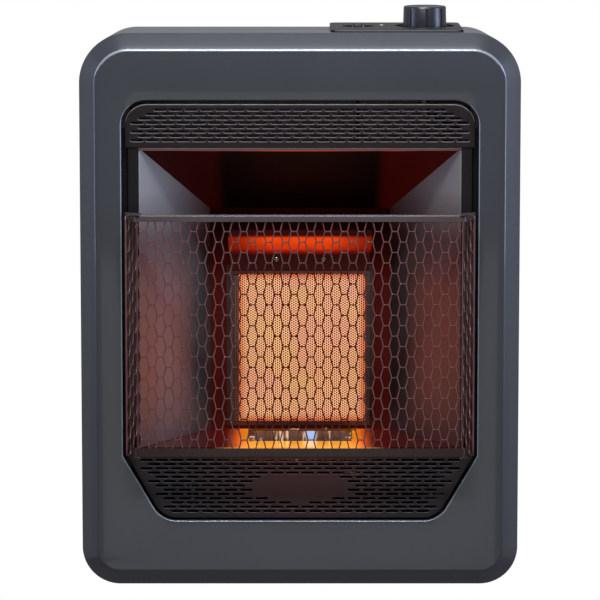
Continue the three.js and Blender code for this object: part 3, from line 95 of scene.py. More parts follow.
def take_off(piece, test):
    """Deletes the faces that pass the test."""
    choose(piece, "FACE", test)
    bpy.ops.mesh.delete(type="FACE")


def middle(part):
    """Mean of a face's or an edge's corners."""
    return sum((corner.co for corner in part.verts), Vector()) / len(part.verts)


def runs(edge, axis):
    """Whether an edge lies along that axis: 0, 1 or 2."""
    step = edge.verts[1].co - edge.verts[0].co
    return abs(step[axis]) > 0.999 * step.length


def shape(piece, kind, **settings):
    """Adds a modifier and applies it."""
    alone(piece)
    modifier = piece.modifiers.new(kind.title(), kind)
    for name, value in settings.items():
        setattr(modifier, name, value)
    bpy.ops.object.modifier_apply(modifier=modifier.name)


def join(*pieces):
    """Makes one object of several, named as the first."""
    alone(*pieces)
    bpy.ops.object.join()
    return pieces[0]


def cut(piece, *tools):
    """Takes the tools' shapes out of the piece."""
    tool = join(*tools) if len(tools) > 1 else tools[0]
    shape(piece, "BOOLEAN", object=tool, operation="DIFFERENCE", solver="EXACT", use_self=len(tools) > 1)
    bpy.data.objects.remove(tool)


def smooth(piece, angle=32):
    """Smooth shading that stops at edges sharper than the angle, in degrees."""
    alone(piece)
    bpy.ops.object.shade_smooth_by_angle(angle=math.radians(angle))


def tint(code):
    """An sRGB hex colour as linear RGBA."""
    parts = [int(code[i:i + 2], 16) / 255 for i in (1, 3, 5)]
    return (*[c / 12.92 if c <= 0.04045 else ((c + 0.055) / 1.055) ** 2.4 for c in parts], 1)


def feed(node, inputs):
    """Links sockets to a node's inputs and types values into them."""
    for name, value in inputs.items():
        if isinstance(value, bpy.types.NodeSocket):
            node.id_data.links.new(value, node.inputs[name])
        else:
            node.inputs[name].default_value = value


def add(material, kind, inputs, **settings):
    """Adds one node to a material, with its settings, values and links."""
    node = material.node_tree.nodes.new("ShaderNode" + kind)
    for name, value in settings.items():
        setattr(node, name, value)
    feed(node, inputs)
    return node


def finish(name, colour, roughness, metallic=0.0, **inputs):
    """A new material, its surface shader and its Object coordinates."""
    material = bpy.data.materials.new(name)
    material.use_nodes = True
    surface = material.node_tree.nodes["Principled BSDF"]
    feed(surface, {"Base Color": tint(colour), "Roughness": roughness, "Metallic": metallic, **inputs})
    return material, surface, add(material, "TexCoord", {}).outputs["Object"]


def powder_coat(name, colour, lighter, roughness, peel=0.12, **inputs):
    """Satin powder coat on steel: a faint cloudiness and the orange peel of cured powder.

    The real peel is finer, and is drawn 2.4 mm wide so that it shows.
    """
    material, surface, where = finish(name, colour, roughness, IOR=1.5, **inputs)
    cloud = add(material, "TexNoise", {"Vector": where, "Scale": 14, "Detail": 3})
    grains = add(material, "TexNoise", {"Vector": where, "Scale": 420, "Detail": 2})      # 2.4 mm
    blend = add(material, "Mix", {0: cloud.outputs["Fac"], 6: tint(colour), 7: tint(lighter)},
                data_type="RGBA")
    satin = add(material, "MapRange", {"Value": grains.outputs["Fac"], "From Min": 0.3, "From Max": 0.7,
                                       "To Min": roughness - 0.05, "To Max": roughness + 0.05})
    bump = add(material, "Bump", {"Height": grains.outputs["Fac"], "Strength": peel, "Distance": 0.0004})
    feed(surface, {"Base Color": blend.outputs[2], "Roughness": satin.outputs["Result"],
                   "Normal": bump.outputs["Normal"]})
    return material


def dress(piece, material, slot, *nodes, body="root"):
    """Gives a finished piece its material and body, and hides the CAD nodes that it stands for. The slot
    is not used.
    """
    alone(piece)
    piece.data.materials.clear()
    piece.data.materials.append(material)
    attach(piece, body)
    if nodes:
        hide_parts(*nodes)


casing = block("casing", -209, 209, 17.5, 200, 3.5, 538)
for top, radius in ((True, 43), (False, 34)):                # the upper and the lower corners
    bevel(casing, radius, 18, lambda e: runs(e, 1) and (middle(e).z > -0.1) == top)
take_off(casing, lambda f: f.normal.y > 0.9)
bevel(casing, 1.5, 3, lambda e: middle(e).y < place(0, 18, 0).y and e.calc_face_angle(0) > 1)
choose(casing, "FACE", lambda f: f.normal.y < -0.99)
bpy.ops.mesh.inset(thickness=0.0435)
bpy.ops.mesh.delete(type="FACE")
shape(casing, "SOLIDIFY", thickness=SHEET, offset=-1)
cutters = [block("slot", x, x + 38, depth - 3, depth + 3, 0, 9)
           for x in (-120, -70, -20, 30, 80) for depth in (86, 114)]
for cutter in cutters:
    bevel(cutter, 2.9, 4, lambda e: runs(e, 2))
cutters.append(block("control_opening", 33, 154, 29, 126, 530, 545))
cutters.append(block("inlet_opening", 137, 163, 137, 163, 0, 9))
bevel(cutters[-1], 12.9, 10, lambda e: runs(e, 2))
cut(casing, *cutters)
smooth(casing)
casing_paint = powder_coat("casing_powder_coat", "#4A4B50", "#53555A", 0.38)
dress(casing, casing_paint, "casing", "cabinet_shell")

# ---------------------------------------------------------------- back plate
# The back plate is bare hot-dip galvanised sheet, so it shows the frost-like zinc crystals. Its inner
# face deep in the cabinet is painted nearly black as shade. It is flanged forwards at both sides and
# screwed through the casing there.


def coat(material, *names):
    """Gives CAD nodes their material."""
    for name in names:
        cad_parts[name].material_slots[0].material = material


galvanised, surface, where = finish("galvanised_steel", "#A9ADB0", 0.45, 0.9)
spangle = add(galvanised, "TexVoronoi", {"Vector": where, "Scale": 130})                 # 8 mm crystals
zinc = add(galvanised, "MapRange", {"Value": spangle.outputs["Color"], "To Min": 0.36, "To Max": 0.55})
shade = add(galvanised, "Mix", {0: spangle.outputs["Color"], 6: tint("#9CA1A5"), 7: tint("#B9BCBE")},
            data_type="RGBA")
axes = add(galvanised, "SeparateXYZ", {"Vector": where})
# Faces near the back that face forwards, inside the cabinet, are painted nearly black as shade.
deep = add(galvanised, "Math", {0: axes.outputs["Y"], 1: place(0, 190, 0).y}, operation="GREATER_THAN")
way = add(galvanised, "SeparateXYZ",
          {"Vector": add(galvanised, "NewGeometry", {}).outputs["True Normal"]})
forward = add(galvanised, "Math", {0: way.outputs["Y"], 1: -0.5}, operation="LESS_THAN")
inner_shade_mask = add(galvanised, "Math", {0: deep.outputs[0], 1: forward.outputs[0]}, operation="MULTIPLY")
painted_inner_shade = add(galvanised, "Mix", {0: inner_shade_mask.outputs[0], 6: shade.outputs[2], 7: tint("#1A1716")},
            data_type="RGBA")
feed(surface, {"Base Color": painted_inner_shade.outputs[2], "Roughness": zinc.outputs["Result"]})
coat(galvanised, "cabinet_back", "control_bracket", "regulator_bracket", "injector_bracket", "venturi",
     "burner_plenum", "heat_shield", "igniter_nut", "valve_stem",
     *[f"case_screw_{number}" for number in range(1, 5)])

# ---------------------------------------------------------------- front bezel
# The bezel is pressed in one stroke from 1.2 mm steel: a flat face, a rim that slopes back at 45
# degrees, a narrow rear flange and a turned edge round the opening. It has a dark slate-grey satin
# powder coat. Its rounded edges catch the light, and a painted highlight on the upward folds adds to it.
BEZEL_HALF, BEZEL_HEIGHT, RIM_DEPTH = 212.5, 538, 17.2
bezel = block("bezel", -BEZEL_HALF, BEZEL_HALF, 0, RIM_DEPTH, 0, BEZEL_HEIGHT)
for top, radius in ((True, 48), (False, 37)):
    bevel(bezel, radius, 28, lambda e: runs(e, 1) and (middle(e).z > -0.1) == top)
bevel(bezel, 16, 1, lambda e: middle(e).y < place(0, 0.1, 0).y)
bevel(bezel, 1.7, 5, lambda e: middle(e).y < place(0, 0.1, 0).y)

OPENING_HALF, OPENING_TOP, OPENING_BOTTOM = 171.4, 473.8, 65.7
KNEE = 129                                   # height where the sides turn inwards by 30 degrees


def opening_block(name, margin, front, rear, low, high):
    """A block of the opening's outline, smaller by the margin, cut off below and above."""
    half = OPENING_HALF - margin
    piece = block(name, -half, half, front, rear, max(low, OPENING_BOTTOM + margin),
                  min(high, OPENING_TOP - margin))
    for side in (-1, 1):
        slope = Vector((0.8633 * side, 0, -0.5046))
        choose(piece, "FACE", lambda f: True)
        bpy.ops.mesh.bisect(plane_co=place(OPENING_HALF * side, 0, KNEE) - slope * margin / 1000,
                            plane_no=slope, clear_outer=True, use_fill=True)
    return piece


def round_opening(piece, margin, segments):
    """Rounds the corners that the opening has within the piece."""
    bevel(piece, 24 - margin, segments, lambda e: runs(e, 1) and middle(e).z > place(0, 0, 460).z)
    bevel(piece, (20 - margin) * 0.7, segments, lambda e: runs(e, 1) and middle(e).z < place(0, 0, 75).z)


opening = opening_block("opening", 0, -5, 30, 0, 600)
round_opening(opening, 0, 14)
cut(bezel, opening)
take_off(bezel, lambda f: f.normal.y > 0.9 or (              # the rear, and the walls left by the cut
    abs(f.normal.y) < 0.1 and abs(middle(f).x) < 0.18
    and abs(middle(f).z - place(0, 0, BEZEL_HEIGHT / 2).z) < 0.22))
choose(bezel, "EDGE", lambda e: e.is_boundary and middle(e).y < place(0, 1, 0).y)
bpy.ops.mesh.extrude_edges_move(TRANSFORM_OT_translate={"value": (0, 0.008, 0)})
choose(bezel, "EDGE", lambda e: e.is_boundary and middle(e).y > place(0, 17, 0).y)
bpy.ops.mesh.extrude_edges_move()
bpy.ops.transform.resize(value=(201.7 / BEZEL_HALF, 1, 258.2 / (BEZEL_HEIGHT / 2)),
                         center_override=place(0, RIM_DEPTH, BEZEL_HEIGHT / 2))
bevel(bezel, 1.2, 4, lambda e: middle(e).y < place(0, 0.1, 0).y and e.calc_face_angle(0) > 1)
shape(bezel, "SOLIDIFY", thickness=SHEET, offset=-1)
smooth(bezel, 25)


def painted(material):
    """A material's surface shader, and the colour that feeds it so far."""
    surface = material.node_tree.nodes["Principled BSDF"]
    return surface, surface.inputs["Base Color"].links[0].from_socket


def painted_fold_highlight(material, colour, steepest, side_reach, lowest):
    """A painted highlight: a lighter colour on upward folds, told by their normals.

    Folds that face sideways count within side_reach of the middle, and none below the lowest height.
    """
    surface, flat = painted(material)
    way = add(material, "SeparateXYZ",
              {"Vector": add(material, "NewGeometry", {}).outputs["True Normal"]})
    where = add(material, "SeparateXYZ", {"Vector": add(material, "TexCoord", {}).outputs["Object"]})
    tilt = add(material, "Math", {0: way.outputs["Y"]}, operation="ABSOLUTE").outputs[0]
    aside = add(material, "Math", {0: where.outputs["X"]}, operation="ABSOLUTE").outputs[0]
    inner = add(material, "Math", {0: aside, 1: side_reach}, operation="LESS_THAN").outputs[0]
    rise = add(material, "Math", {0: inner, 1: 0.3, 2: way.outputs["Z"]}, operation="MULTIPLY_ADD")
    fold = add(material, "Math", {0: rise.outputs[0], 1: 0.15}, operation="GREATER_THAN").outputs[0]
    for value, limit, test in ((tilt, 0.985, "LESS_THAN"), (tilt, steepest, "GREATER_THAN"),
                               (where.outputs["Z"], lowest, "GREATER_THAN")):
        passed = add(material, "Math", {0: value, 1: limit}, operation=test).outputs[0]
        fold = add(material, "Math", {0: fold, 1: passed}, operation="MULTIPLY").outputs[0]
    mixed = add(material, "Mix", {0: fold, 6: flat, 7: tint(colour)}, data_type="RGBA")
    feed(surface, {"Base Color": mixed.outputs[2]})


slate_paint = powder_coat("slate_powder_coat", "#27292E", "#2D2F34", 0.36,
                          **{"Coat Weight": 0.6, "Coat Roughness": 0.07})
# A painted highlight lightens the bezel's upward folds and the sides of its opening.
painted_fold_highlight(slate_paint, "#70767C", 0.72, 0.18, -1)
dress(bezel, slate_paint, "slate", "front_bezel")

# ---------------------------------------------------------------- louvre panels
# Two panels of 1.2 mm sheet close the opening above and below the guard. Each is pierced with
# staggered rows of 12 by 2 mm slots, has its edges turned back, and wears black stove enamel.
SLOT_PITCH, ROW_PITCH = 14.9, 4.2


def slots(counts, top, keep=lambda x, height: True):
    """Cutters for all the slots of a panel, in centred rows from the top down."""
    pattern = block("slot", -6, 6, 2, 6.5, -1, 1)
    bevel(pattern, 0.9, 2, lambda e: runs(e, 1))
    bpy.ops.object.mode_set(mode="OBJECT")
    cutters = []
    for row, count in enumerate(counts):
        for i in range(count):
            x, height = (i - (count - 1) / 2) * SLOT_PITCH, top - row * ROW_PITCH
            if keep(x, height):
                cutter = pattern.copy()
                cutter.data = pattern.data.copy()
                cutter.data.transform(Matrix.Translation((x / 1000, 0, height / 1000)))
                bpy.context.collection.objects.link(cutter)
                cutters.append(cutter)
    bpy.data.objects.remove(pattern)
    return cutters


def louvre_panel(name, margin, low, high, cutters):
    """A tray of sheet with turned edges, notched at the posts, with its slots cut."""
    piece = opening_block(name, margin, 3.5, 8.5, low, high)
    round_opening(piece, margin, 8)
    bevel(piece, 1.2, 4, lambda e: middle(e).y < place(0, 3.6, 0).y)
    take_off(piece, lambda f: f.normal.y > 0.9)
    shape(piece, "SOLIDIFY", thickness=SHEET, offset=-1)
    notches = [block("notch", x - 5.8, x + 5.8, 4.75, 10, 123.7, 447.3) for x in (-160.5, 160.5)]
    cut(piece, *notches, *cutters)
    bevel(piece, 0.5, 1, lambda e: middle(e).y < place(0, 3.55, 0).y and e.calc_face_angle(0) > 1)
    smooth(piece)
    return piece


def around(material, centre, stretch, core, rim):
    """A value that falls from 1 to 0 between two distances from a place, each axis stretched."""
    apart = add(material, "TexCoord", {}).outputs["Object"]
    apart = add(material, "VectorMath", {0: apart, 1: centre}, operation="SUBTRACT").outputs[0]
    apart = add(material, "VectorMath", {0: apart, 1: stretch}, operation="MULTIPLY").outputs[0]
    apart = add(material, "VectorMath", {0: apart}, operation="LENGTH").outputs["Value"]
    near = add(material, "MapRange", {"Value": apart, "From Min": core, "From Max": rim, "To Min": 1.0,
                                      "To Max": 0.0})
    return near.outputs["Result"]


# A painted highlight lightens the slots' rounded edges on the upper panel. A painted red glow in the
# lower one's middle stands for the burner's light.
black_enamel = powder_coat("black_stove_enamel", "#140F10", "#1B1415", 0.36, 0.04,
                           **{"Specular IOR Level": 0.3})
painted_fold_highlight(black_enamel, "#5C5654", 0.3, 0, place(0, 0, 400).z)
feed(painted(black_enamel)[0], {"Emission Color": tint("#2A0505"), "Emission Strength": around(
    black_enamel, place(0, 0, 120), (0.6, 0, 1), 0.0, 0.07)})
post_enamel = powder_coat("post_stove_enamel", "#060406", "#0A080A", 0.45, 0.08,
                          **{"Specular IOR Level": 0.3})
upper = louvre_panel("upper_louvres", 3.3, 428, 500, slots([19, 20, 21, 22, 21, 22, 21, 22], 464.6))
dress(upper, black_enamel, "black", "upper_louvre_panel")
lower = louvre_panel("lower_louvres", 1.8, 0, 131, slots(
    [21, 20, 21, 20, 19, 20, 19, 18, 19, 18, 17, 18, 17], 124.6,
    lambda x, height: math.hypot(x / 51, (height - 97) / 14.5) > 1))
dress(lower, black_enamel, "black", "lower_louvre_panel")
for name, side in (("left_post", -1), ("right_post", 1)):
    post = block("side_post", *sorted((155 * side, 166 * side)), 5, 16, 124, 447)
    take_off(post, lambda f: not (f.normal.y < -0.9 or f.normal.x * side > 0.9))
    choose(post, "EDGE", lambda e: runs(e, 2) and middle(e).y > place(0, 15, 0).y)
    bpy.ops.mesh.extrude_edges_move(TRANSFORM_OT_translate={"value": (0.011 * side, 0, 0)})
    bevel(post, 1.4, 4, lambda e: runs(e, 2) and not e.is_boundary)
    shape(post, "SOLIDIFY", thickness=SHEET, offset=-1)
    smooth(post)
    post.name = name + "_strip"
    dress(post, post_enamel, "black", name)

# ---------------------------------------------------------------- guard
# The guard keeps fabric and fingers off the burner. Folded rails run round the front and the
# slanted sides and lie on the posts with narrow feet; expanded steel mesh is spot welded behind
# them. All of it has a thin heat-resistant dark brown paint.
GUARD_HALF, GUARD_FRONT_HALF = 169.5, 158                    # at the posts, and at the front
GUARD_FRONT, GUARD_REAR = -28, 4.7


def guard_rail(name, low, high, ledge_up):
    """A rail: a band round three sides with a ledge turned inwards, and a foot at each end."""
    rail = block(name, -GUARD_HALF, GUARD_HALF, GUARD_FRONT, GUARD_REAR, low, high)
    choose(rail, "FACE", lambda f: f.normal.y < -0.9)
    bpy.ops.transform.resize(value=(GUARD_FRONT_HALF / GUARD_HALF, 1, 1), center_override=(0, 0, 0))
    bevel(rail, 3, 5, lambda e: runs(e, 2) and middle(e).y < place(0, -27, 0).y)
    take_off(rail, lambda f: f.normal.y > 0.9 or f.normal.z * ledge_up < -0.9)
    choose(rail, "FACE", lambda f: f.normal.z * ledge_up > 0.9)
    bpy.ops.mesh.inset(thickness=0.009)
    bpy.ops.mesh.delete(type="FACE")
    take_off(rail, lambda f: abs(f.normal.z) > 0.9 and middle(f).y > place(0, -3, 0).y
             and abs(middle(f).x) < 0.1)
    bevel(rail, 1.3, 4, lambda e: not runs(e, 2) and not e.is_boundary and e.calc_face_angle(0) > 1)
    for side in (-1, 1):
        choose(rail, "EDGE", lambda e: runs(e, 2) and middle(e).y > place(0, 4.6, 0).y
               and middle(e).x * side > 0)
        bpy.ops.mesh.extrude_edges_move(TRANSFORM_OT_translate={"value": (-0.012 * side, 0, 0)})
    shape(rail, "SOLIDIFY", thickness=SHEET, offset=-1)
    return rail


def guard_stile(side):
    """The strip between the rails at one side, folded from the foot round to the mesh."""
    left, right = sorted((157.5 * side, GUARD_HALF * side))
    stile = block("stile", left, right, -0.96, GUARD_REAR, 141.4, 360.2)
    choose(stile, "EDGE", lambda e: runs(e, 2) and middle(e).y < -0.2 and middle(e).x * side > 0.165)
    bpy.ops.transform.translate(value=(-0.002 * side, 0, 0))
    take_off(stile, lambda f: not (f.normal.y > 0.9 or f.normal.x * side > 0.5))
    shape(stile, "SOLIDIFY", thickness=SHEET, offset=-1)
    return stile


guard = join(guard_rail("guard_rails", 360.0, 366.2, 1), guard_rail("rail", 132.4, 141.4, -1),
             guard_stile(-1), guard_stile(1))
smooth(guard)
guard_paint = powder_coat("heat_resistant_paint", "#362D2D", "#423837", 0.34, 0.02)


def across(material, axis, start, end, first=0.0, last=1.0, **settings):
    """A value that goes from first to last between two places on an axis, in millimetres as for place().

    The axis is X, Y or Z, or "aside" for the distance from the middle to either side.
    """
    where = add(material, "TexCoord", {}).outputs["Object"]
    value = add(material, "SeparateXYZ", {"Vector": where}).outputs["X" if axis == "aside" else axis]
    if axis == "aside":
        value = add(material, "Math", {0: value}, operation="ABSOLUTE").outputs[0]
    zero = {"Y": FACE_DISTANCE, "Z": HANG_HEIGHT}.get(axis, 0)
    ramp = add(material, "MapRange", {"Value": value, "From Min": (start - zero) / 1000,
                                      "From Max": (end - zero) / 1000, "To Min": first, "To Max": last},
               **settings)
    return ramp.outputs["Result"]


# Towards the floor the paint is tinted dark red, a painted stand-in for the red light of the burner and
# the floor.
surface, fresh = painted(guard_paint)
painted_red_light = add(guard_paint, "Mix", {0: across(guard_paint, "Z", 150, 340, 1, 0), 6: fresh,
                                    7: tint("#220A07")}, data_type="RGBA")
feed(surface, {"Base Color": painted_red_light.outputs[2]})
dress(guard, guard_paint, "guard", "guard_frame")

COLUMN, STAGGER = 8, 10.05                                   # the mesh's columns of six-sided cells


def mesh_panel(name, width, low, high, first=0.0):
    """Expanded metal in the plane y = 0, in staggered columns, as welded behind the guard's rails."""
    alone()
    bpy.ops.mesh.primitive_circle_add(vertices=6, radius=1, fill_type="NGON")
    mesh = bpy.context.object
    mesh.name = name
    columns = math.ceil(width / 4 / COLUMN) + 1
    rows = math.ceil((high - 130) / 2 / STAGGER) + 1
    mesh.matrix_world = (Matrix.Translation(Vector((first - 2 * columns * COLUMN, 0, 129.35)) / 1000)
                         @ Matrix.Diagonal((0.005333, 1, 0.011605, 1))
                         @ Matrix.Rotation(math.pi / 2, 4, "X") @ Matrix.Rotation(math.pi / 2, 4, "Z"))
    bpy.ops.object.transform_apply(location=True, rotation=True, scale=True)
    for step, count in (((COLUMN, STAGGER), 2), ((2 * COLUMN, 0), 2 * columns + 1),
                        ((0, 2 * STAGGER), rows)):
        shape(mesh, "ARRAY", use_relative_offset=False, use_constant_offset=True, count=count,
              constant_offset_displace=(step[0] / 1000, 0, step[1] / 1000))
    choose(mesh, "FACE", lambda f: True)
    bpy.ops.mesh.remove_doubles(threshold=0.0001)
    half = width / 2000
    for corner, way in (((half, 0, 0), (1, 0, 0)), ((-half, 0, 0), (-1, 0, 0)),
                        ((0, 0, low / 1000), (0, 0, -1)), ((0, 0, high / 1000), (0, 0, 1))):
        bpy.ops.mesh.select_all(action="SELECT")
        bpy.ops.mesh.bisect(plane_co=corner, plane_no=way, clear_outer=True)
    shape(mesh, "WIREFRAME", thickness=0.0015, use_boundary=True, use_even_offset=False)
    alone(mesh)
    bpy.ops.object.shade_smooth()
    return mesh


def stand(mesh, x, depth, turn=0.0):
    """Moves a mesh panel from the origin to its place, turned about the vertical."""
    mesh.data.transform(Matrix.Translation(place(x, depth, 0)) @ Matrix.Rotation(turn, 4, "Z"))


front_mesh = mesh_panel("front_mesh", 310, 134, 364.8, 2.4)
stand(front_mesh, 0, -26)
wing_turn = math.atan2(GUARD_REAR - GUARD_FRONT, GUARD_HALF - GUARD_FRONT_HALF)
side_meshes = []
for side in (-1, 1):
    wing = mesh_panel("wing_mesh", 27, 134, 364.8)
    stand(wing, side * 162.0, -11, -side * wing_turn)
    side_meshes.append(wing)


def squarely(material, x, height, taller):
    """How far off a place is, aside or upright, whichever is more; upright less by taller mm."""
    where = add(material, "TexCoord", {}).outputs["Object"]
    apart = add(material, "VectorMath", {0: where, 1: place(x, 0, height)}, operation="SUBTRACT")
    apart = add(material, "VectorMath", {0: apart.outputs[0]}, operation="ABSOLUTE")
    apart = add(material, "SeparateXYZ", {"Vector": apart.outputs[0]})
    upright = add(material, "Math", {0: apart.outputs["Z"], 1: taller / 1000}, operation="SUBTRACT")
    return add(material, "Math", {0: apart.outputs["X"], 1: upright.outputs[0]},
               operation="MAXIMUM").outputs[0]


# In front of the plaque the strands are painted dark as backlit shade, with a faint painted red glow for
# the plaque's light.
mesh_paint = powder_coat("mesh_paint", "#4C2D2A", "#603B37", 0.36, 0.05)
surface, paint = painted(mesh_paint)
backlit_zone = add(mesh_paint, "MapRange", {"Value": squarely(mesh_paint, 1, 238, 17), "From Min": 0.056,
                                     "From Max": 0.066, "To Min": 1.0, "To Max": 0.0}).outputs["Result"]
painted_backlit_shade = add(mesh_paint, "Mix", {0: backlit_zone, 6: paint, 7: tint("#120302")}, data_type="RGBA")
matt = add(mesh_paint, "MapRange", {"Value": backlit_zone, "To Min": 0.3, "To Max": 0.9})
painted_glow_level = add(mesh_paint, "Math", {0: backlit_zone, 1: 0.6}, operation="MULTIPLY")
feed(surface, {"Base Color": painted_backlit_shade.outputs[2], "Roughness": matt.outputs["Result"], "Metallic": backlit_zone,
               "Emission Color": tint("#5A1204"), "Emission Strength": painted_glow_level.outputs[0]})
dress(front_mesh, mesh_paint, "guard", "guard_mesh_front")
for wing, side in zip(side_meshes, ("left", "right")):
    wing.name = side + "_mesh"
    dress(wing, mesh_paint, "guard", "guard_mesh_" + side)

# ---------------------------------------------------------------- firebox
# The side reflectors and the floor are polished stainless sheet with patches of heat stain. The sides
# carry painted shade, and the floor a painted reflection of the plaque. The roof is the same steel,
# burnt nearly black.


def reflector_steel(name, colour, stain_and_shade, roughness):
    """Rolled stainless sheet: fine upright rolling lines and soft patches of heat stain."""
    material, surface, where = finish(name, colour, roughness, 1.0)
    along = add(material, "Mapping", {"Vector": where, "Scale": (1, 1, 0.03)})
    lines = add(material, "TexNoise", {"Vector": along.outputs["Vector"], "Scale": 700, "Detail": 2})
    patches = add(material, "TexNoise", {"Vector": where, "Scale": 16, "Detail": 4})
    stain = add(material, "MapRange", {"Value": patches.outputs["Fac"], "From Min": 0.35,
                                       "From Max": 0.7})
    blend = add(material, "Mix", {0: stain.outputs["Result"], 6: tint(colour), 7: tint(stain_and_shade)},
                data_type="RGBA")
    polish = add(material, "MapRange", {"Value": patches.outputs["Fac"], "To Min": roughness - 0.08,
                                        "To Max": roughness + 0.12})
    bump = add(material, "Bump", {"Height": lines.outputs["Fac"], "Strength": 0.08, "Distance": 0.0002})
    feed(surface, {"Base Color": blend.outputs[2], "Roughness": polish.outputs["Result"],
                   "Normal": bump.outputs["Normal"]})
    return material


def rings(name, profile, sides=96):
    """A turned piece on the origin: a circle drawn up through [radius, height] millimetres."""
    alone()
    bpy.ops.mesh.primitive_circle_add(vertices=sides, radius=profile[0][0] / 1000,
                                      location=(0, 0, profile[0][1] / 1000))
    piece = bpy.context.object
    piece.name = name
    bpy.ops.object.transform_apply(location=True, rotation=True, scale=True)
    choose(piece, "EDGE", lambda e: True)
    for (before, start), (radius, height) in zip(profile, profile[1:]):
        rise = (0, 0, (height - start) / 1000)
        bpy.ops.mesh.extrude_edges_move(TRANSFORM_OT_translate={"value": rise})
        bpy.ops.transform.resize(value=(radius / before, radius / before, 1), center_override=(0, 0, 0))
    choose(piece, "EDGE", lambda e: e.is_boundary)
    bpy.ops.mesh.fill_holes(sides=sides)
    choose(piece, "FACE", lambda f: True)
    bpy.ops.mesh.normals_make_consistent(inside=False)
    bpy.ops.object.mode_set(mode="OBJECT")
    return piece


# The sides are painted darker below the guard's rail as shade. The right one is painted a darker pink
# as shade as well, most of all below the rail.
side_steel = reflector_steel("stain_and_shade_reflector_steel", "#CCCEC8", "#BAB9B4", 0.5)
surface, plain_side_steel = painted(side_steel)
below = across(side_steel, "Z", 335, 385, 1, 0)
painted_shade_below = add(side_steel, "Mix", {0: below, 6: plain_side_steel, 7: tint("#868688")}, data_type="RGBA")
share = add(side_steel, "MapRange", {"Value": below, "To Min": 0.3})
share = add(side_steel, "Math", {0: share.outputs["Result"], 1: across(side_steel, "X", -10, 10)},
            operation="MULTIPLY")
painted_right_shade = add(side_steel, "Mix", {0: share.outputs[0], 6: (1, 1, 1, 1), 7: tint("#CCB6B2")},
            data_type="RGBA")
stain_and_shade = add(side_steel, "Mix", {0: 1.0, 6: painted_shade_below.outputs[2], 7: painted_right_shade.outputs[2]}, data_type="RGBA",
              blend_type="MULTIPLY")
feed(surface, {"Base Color": stain_and_shade.outputs[2]})
coat(side_steel, "left_reflector", "right_reflector")

# The frame round the plaque has lost its polish, and shows a dull brown.
frame_steel = reflector_steel("plaque_frame_steel", "#6A5450", "#4A3432", 0.42)
coat(frame_steel, "plaque_frame")

# The roof's turned-up front edge gets a painted highlight and a faint painted glow. Below it a thin
# painted line stands for the roof's reflection of the red-hot strip, and its ends get a painted dull
# red glow for the plaque's light, stronger on the right.
burnt_steel = reflector_steel("burnt_steel", "#120B0B", "#0A0606", 0.5)
surface, black = painted(burnt_steel)
roof = across(burnt_steel, "Y", 11.0, 11.3)                  # 0 on the front edge
edge = add(burnt_steel, "Mix", {0: roof, 6: tint("#8A7A76"), 7: black}, data_type="RGBA")
painted_end_glow = across(burnt_steel, "aside", 72, 86, last=0.8, interpolation_type="SMOOTHSTEP")
for factor in (roof, across(burnt_steel, "X", -130, 130, 0.7, 1.5)):
    painted_end_glow = add(burnt_steel, "Math", {0: painted_end_glow, 1: factor}, operation="MULTIPLY").outputs[0]
painted_reflection_line = across(burnt_steel, "Y", 11.5, 13, 1, 0)
for factor in (across(burnt_steel, "aside", 20, 120, 1, 0), roof):
    painted_reflection_line = add(burnt_steel, "Math", {0: painted_reflection_line, 1: factor}, operation="MULTIPLY").outputs[0]
glow = add(burnt_steel, "Mix", {0: painted_reflection_line, 6: tint("#260101"), 7: tint("#D8401C")}, data_type="RGBA")
glow = add(burnt_steel, "Mix", {0: roof, 6: tint("#3A2624"), 7: glow.outputs[2]}, data_type="RGBA")
painted_edge_glow = add(burnt_steel, "Math", {0: 1.0, 1: roof}, operation="SUBTRACT").outputs[0]
level = painted_end_glow
for other in (painted_reflection_line, painted_edge_glow):
    level = add(burnt_steel, "Math", {0: level, 1: other}, operation="MAXIMUM").outputs[0]
feed(surface, {"Base Color": edge.outputs[2], "Metallic": 0.0, "Specular IOR Level": 0.05,
               "Emission Color": glow.outputs[2], "Emission Strength": level})
coat(burnt_steel, "hood_deflector")

# The floor is straw-tinted. A painted reflection of the plaque lies on it: yellow-orange in front of it,
# then orange and dark red towards its sides, where the steel's colour is also painted nearly black.
floor_steel = reflector_steel("straw_tinted_floor_steel", "#F8CC68", "#E8B050", 0.14)
surface, straw = painted(floor_steel)
both = add(floor_steel, "Mix", {0: across(floor_steel, "aside", 50, 85), 6: straw, 7: tint("#200E0E")},
           data_type="RGBA")
painted_reflection_colour = tint("#EC9C1C")
for start, end, colour, rise in ((46, 64, "#E4581A", "LINEAR"), (58, 74, "#4A0C0C", "SMOOTHSTEP"),
                                 (70, 130, "#1C0808", "LINEAR")):
    share = across(floor_steel, "aside", start, end, interpolation_type=rise)
    painted_reflection_colour = add(floor_steel, "Mix", {0: share, 6: painted_reflection_colour, 7: tint(colour)},
                   data_type="RGBA").outputs[2]
where = add(floor_steel, "TexCoord", {}).outputs["Object"]
reflection_patches = add(floor_steel, "TexNoise", {"Vector": where, "Scale": 55, "Detail": 3})
uneven = add(floor_steel, "MapRange", {"Value": reflection_patches.outputs["Fac"], "From Min": 0.3,
                                       "From Max": 0.7, "To Min": 0.75, "To Max": 1.0})
way = add(floor_steel, "SeparateXYZ",
          {"Vector": add(floor_steel, "NewGeometry", {}).outputs["True Normal"]})
upward = add(floor_steel, "Math", {0: way.outputs["Z"], 1: 0.5}, operation="GREATER_THAN")
seen = add(floor_steel, "Math", {0: across(floor_steel, "aside", 51.999, 52.001),
                                 1: across(floor_steel, "Y", 56, 66, 1, 0.12)},
           operation="MAXIMUM").outputs[0]
for factor in (upward.outputs[0], uneven.outputs["Result"]):
    seen = add(floor_steel, "Math", {0: seen, 1: factor}, operation="MULTIPLY").outputs[0]
feed(surface, {"Base Color": both.outputs[2], "Emission Color": painted_reflection_colour, "Emission Strength": seen})
